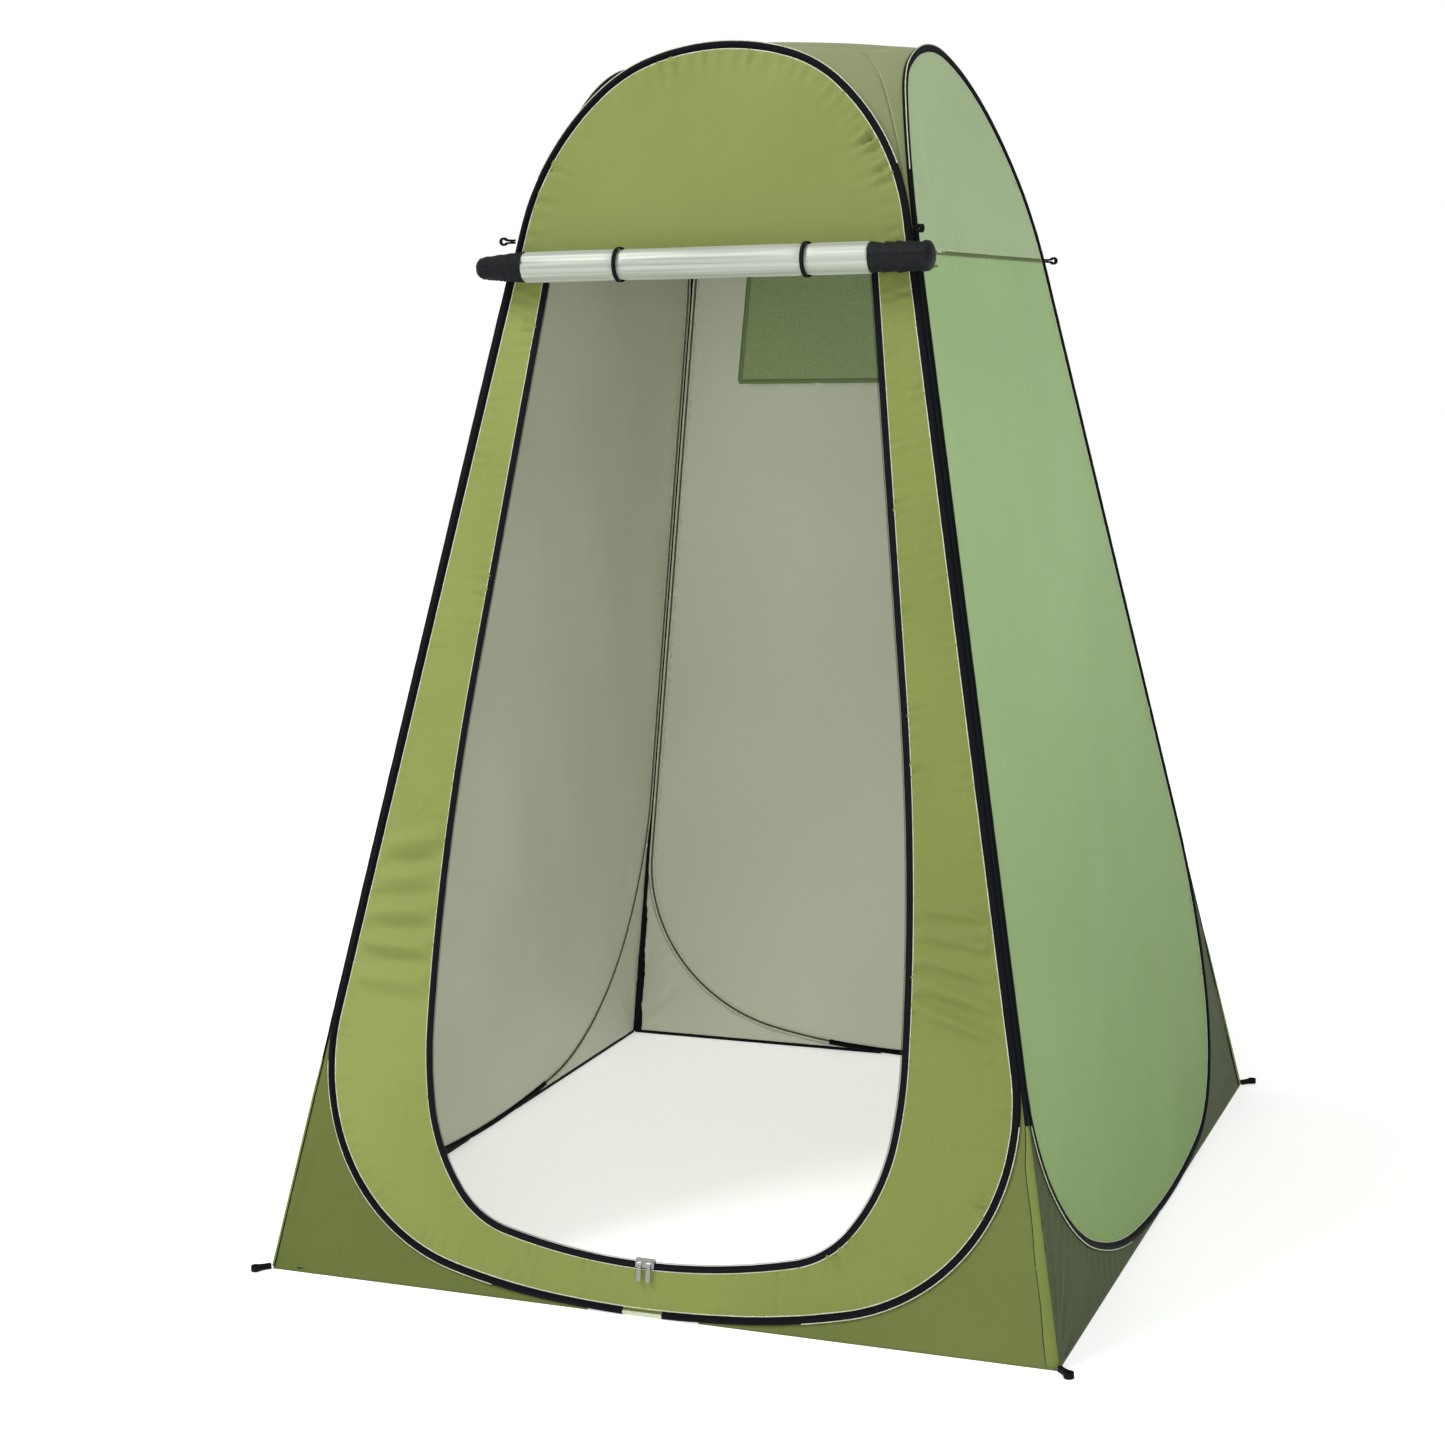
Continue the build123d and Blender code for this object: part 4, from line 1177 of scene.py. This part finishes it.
def back_window():
    """Netting in the back panel, its binding, and the cloth flap that covers it outside."""
    back = PANELS["back"]
    lean = (WINDOW_HALF_LOW - WINDOW_HALF_HIGH) / (WINDOW_HIGH - WINDOW_LOW)

    def half(s):
        return WINDOW_HALF_LOW - lean * (s - WINDOW_LOW) - 0.3 * MM

    rows = np.arange(WINDOW_LOW, WINDOW_HIGH, NET_PITCH / 2)
    columns = 2 * int(WINDOW_HALF_LOW * 2 / NET_PITCH / 2) + 1
    u = np.linspace(-1, 1, columns * 2 - 1)
    x = np.array([half(s) * u for s in rows])
    s = np.repeat(rows[:, None], len(u), axis=1)
    b = 0.18 * MM * np.where((np.add.outer(np.arange(len(rows)), np.arange(len(u))) % 2) == 0, 1, -1)
    points = back.at(x, s, b).reshape(-1, 3)
    across = len(u) - 1
    faces = [face for f, face in enumerate(grid_faces(len(rows), len(u), closed=False))
             if not (f // across % 2 and f % across % 2)]
    net = add_mesh("window_net", points, faces, ["net"], np.stack([x, s], axis=-1).reshape(-1, 2))
    belongs(net, "back", "mesh", "window_mesh")

    w = WINDOW_BINDING / 2
    section = [(-w, -0.9 * MM), (w, -0.9 * MM), (w + 0.2 * MM, 0), (w, 0.9 * MM), (w * 0.6, 1.15 * MM),
               (w * 0.5, 0.9 * MM), (w * 0.4, 1.15 * MM), (-w * 0.4, 1.15 * MM), (-w * 0.5, 0.9 * MM),
               (-w * 0.6, 1.15 * MM), (-w, 0.9 * MM), (-w - 0.2 * MM, 0)]
    belongs(swept("window_tape", back, window_loop(w), section, ["window"], True), "back", "window_tape",
            "window_binding")

    def lift(points, away, along):
        return 0.8 * MM * smooth(away / (30 * MM)) * (1 + waves(points, 53, 0.3, 0.1))

    cloth_sheet("window_flap_sheet", back, [window_loop(FLAP_MARGIN)], "window", "window_cover",
                "window_flap", "window_cloth", 7 * MM, 51, out=FLAP_OUT + 0.6 * MM, relief=lift,
                inner="window_inside", sag=0.0, gather=0.0)


back_window()

# ---- corners ----
CORNERS = {"front_left": (-1, -1, "front"), "front_right": (1, -1, "front"),
           "back_right": (1, 1, "right"), "back_left": (-1, 1, "left")}
SEAM_TOP = JUNCTION - 8 * MM
FLAP_TOP = 330 * MM
STAKE_EYE, STAKE_EYE_OUT = 4.0 * MM, 27 * MM
GUY_EYE, GUY_EYE_OUT = 2.8 * MM, 21 * MM
TAB_START, STAKE_LIFT = 2.4 * MM, 5.3 * MM
FRONT_LOOP_LIFT = 33 * MM


def tube_along(name, places, sections, looks, kinds):
    """Rings of points joined into a tube with closed ends; kinds has each face's material."""
    n, m = len(places), len(sections[0])
    points = np.array(places)[:, None] + np.array(sections)
    along = np.linspace(0, 1, n) * np.linalg.norm(places[-1] - places[0])
    uv = np.stack([np.repeat(along, m), np.tile(np.arange(m) * 2.0 * MM, n)], axis=1)
    faces = grid_faces(n, m) + end_faces(n, m)
    return add_mesh(name, points.reshape(-1, 3), faces, looks, uv, kinds + [kinds[0]] * 2)


def corner_place(sx, sy, z):
    """The point of a corner edge at a height."""
    foot = np.array((sx * HALF_WIDTH, sy * HALF_DEPTH, 0))
    return foot + (np.array((0, 0, APEX)) - foot) * (z / APEX)


def corner_seam(corner, sx, sy, body):
    """The corner seam: a green flap folded onto the end panel's gusset, black tape inside."""
    end = PANELS[{(1, -1): "front", (-1, -1): "left", (-1, 1): "back", (1, 1): "right"}[sx, sy]]
    outward = np.array((sx * PANELS["right"].out[0], sy * -PANELS["front"].out[1], 0.0))
    outward /= np.linalg.norm(outward)
    sideways = np.array((-outward[1], outward[0], 0))
    lay = -end.across
    places, sections = [], []
    low, high = np.linspace(5 * MM, FLAP_TOP, 90), np.linspace(FLAP_TOP + 6 * MM, SEAM_TOP, 60)
    for z in [*low, *high]:
        open_share = 1 - smooth((z - (FLAP_TOP - 60 * MM)) / (60 * MM))
        flap = (3.0 + 13.0 * open_share * (1 - 0.62 * z / FLAP_TOP)) * MM if z < FLAP_TOP else 2.4 * MM
        flap += 0.7 * MM * open_share * sin(z * 55)
        proud = (1.0 + 1.1 * open_share) * MM
        places.append(corner_place(sx, sy, z))
        section = [outward * proud + sideways * 1.4 * MM, outward * proud - sideways * 0.6 * MM,
                   lay * flap + end.out * (1.2 + 1.2 * open_share) * MM,
                   lay * (flap + 1.3 * MM) + end.out * (0.8 + 0.8 * open_share) * MM,
                   lay * (flap + 0.6 * MM) - end.out * 0.6 * MM,
                   -outward * 7.2 * MM - sideways * 3.5 * MM, -outward * 8.4 * MM,
                   -outward * 7.2 * MM + sideways * 3.5 * MM, sideways * 2.4 * MM]
        sections.append(section)
    kinds = [0, 0, 1, 1, 1, 1, 1, 1, 0] * (len(low) - 1) + [1] * 9 * len(high)
    obj = tube_along(f"corner_fold_{corner}", places, sections, ["flap", "tape"], kinds)
    belongs(obj, body, "gusset_cloth", f"corner_seam_{corner}")


def webbing_loop(name, node, body, origin, along, across, reach, eye, width, thick=3.2 * MM):
    """A doubled strip of webbing standing on edge, its two legs stitched, opened round an eye."""
    r = eye + 0.6 * MM + thick / 2
    gap = 0.55 * thick
    side = [(t * (reach - 1.9 * r), gap + 0.15 * MM * sin(t * 9)) for t in np.linspace(0, 1, 16)]
    side += [(reach + r * cos(a), r * sin(a)) for a in np.linspace(radians(148), 0, 22)]
    line = even(np.array(side + [(x, -y) for x, y in side[-2::-1]]), 0.9 * MM)
    ahead = np.gradient(line, axis=0)
    ahead /= np.linalg.norm(ahead, axis=1)[:, None]
    facing = np.stack([-ahead[:, 1], ahead[:, 0]], axis=1)
    up = np.cross(along, across)
    places, sections = [], []
    for k, (point, normal) in enumerate(zip(line, facing)):
        n = (normal[0] * along + normal[1] * across) * thick / 2
        tall = up * width / 2 * (1 + 0.02 * sin(k * 0.7))
        places.append(origin + point[0] * along + point[1] * across)
        sections.append([tall * 0.86 + n, tall + n * 0.4, tall - n * 0.4, tall * 0.86 - n, -n * 0.86,
                         -tall * 0.86 - n, -tall - n * 0.4, -tall + n * 0.4, -tall * 0.86 + n, n * 0.86])
    obj = tube_along(name, places, sections, ["strap"], [0] * 10 * (len(places) - 1))
    belongs(obj, body, "black_webbing", node)


for corner, (sx, sy, body) in CORNERS.items():
    corner_seam(corner, sx, sy, body)
    outward = np.array((sx, sy, 0.0)) / hypot(1, 1)
    sideways = np.array((-outward[1], outward[0], 0))
    start = corner_place(sx, sy, 0) + outward * TAB_START + np.array((0, 0, STAKE_LIFT))
    webbing_loop(f"stake_tab_{corner}", f"stake_loop_{corner}", body, start, outward, sideways,
                 STAKE_EYE_OUT - TAB_START, STAKE_EYE, 9 * MM)
    top = corner_place(sx, sy, JUNCTION + (FRONT_LOOP_LIFT if sy < 0 else 0))
    webbing_loop(f"guy_tab_{corner}", f"guy_loop_{corner}", body, top + outward * TAB_START, outward,
                 np.array((0, 0, 1.0)), GUY_EYE_OUT - TAB_START, GUY_EYE, 8 * MM)

# ---- metal pieces keep their CAD shapes ----
FINISHES = {f"zip_{part}_{side}": "zinc" for part in ("slider", "pull") for side in ("left", "right")}
FINISHES |= {f"{name}_hoop_{part}": "steel" for name in PANELS for part in ("wire", "ferrule")}
for node, look in FINISHES.items():
    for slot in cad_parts[node].material_slots:
        slot.material = LOOKS[look]

# ---- floor and light ----
WHITE = (1.0, 1.0, 1.0, 1.0)
AMBIENT = 0.6              # studio light from all round; the backdrop itself shows pure white
FLOOR_GLOW = 0.46          # so that the floor reads white, as in the photo's cut-out
FLOOR_HALF = 14.0


def make_floor():
    n = Nodes("floor")
    base = n.ramp(n.noise(1.5, 4.0), linear(247, 247, 246), linear(252, 252, 251))
    LOOKS["floor"] = n.done(base, Roughness=0.9, Specular_IOR_Level=0.1, Emission_Color=WHITE,
                            Emission_Strength=FLOOR_GLOW)
    corners = [(FLOOR_HALF * x, FLOOR_HALF * y, 0) for x, y in ((-1, -1), (1, -1), (1, 1), (-1, 1))]
    add_mesh("floor", corners, [(0, 1, 2, 3)], ["floor"], smooth=False)


def area_light(name, place, target, size, power):
    data = bpy.data.lights.new(name, "AREA")
    data.shape = "DISK"
    data.size = size
    data.energy = power
    light = bpy.data.objects.new(name, data)
    bpy.context.scene.collection.objects.link(light)
    aim = Vector(target) - Vector(place)
    light.matrix_world = Matrix.Translation(place) @ aim.to_track_quat("-Z", "Y").to_matrix().to_4x4()


def make_world():
    """A white backdrop for the camera, and a softer white light on everything else."""
    world = bpy.data.worlds.new("studio")
    bpy.context.scene.world = world
    world.use_nodes = True
    tree = world.node_tree
    backdrop, soft_light = tree.nodes["Background"], tree.nodes.new("ShaderNodeBackground")
    for node, strength in ((backdrop, 1.0), (soft_light, AMBIENT)):
        node.inputs["Color"].default_value = WHITE
        node.inputs["Strength"].default_value = strength
    seen = tree.nodes.new("ShaderNodeLightPath")
    choice = tree.nodes.new("ShaderNodeMixShader")
    tree.links.new(seen.outputs["Is Camera Ray"], choice.inputs["Fac"])
    tree.links.new(soft_light.outputs["Background"], choice.inputs[1])
    tree.links.new(backdrop.outputs["Background"], choice.inputs[2])
    tree.links.new(choice.outputs["Shader"], tree.nodes["World Output"].inputs["Surface"])


make_floor()
make_world()
area_light("key", (-2.6, -2.4, 5.2), (0, 0, 0.8), 2.2, 230)
area_light("fill", (1.6, -5.6, 1.8), (-0.1, 0.2, 0.8), 2.4, 70)
bpy.context.scene.view_settings.view_transform = "Standard"
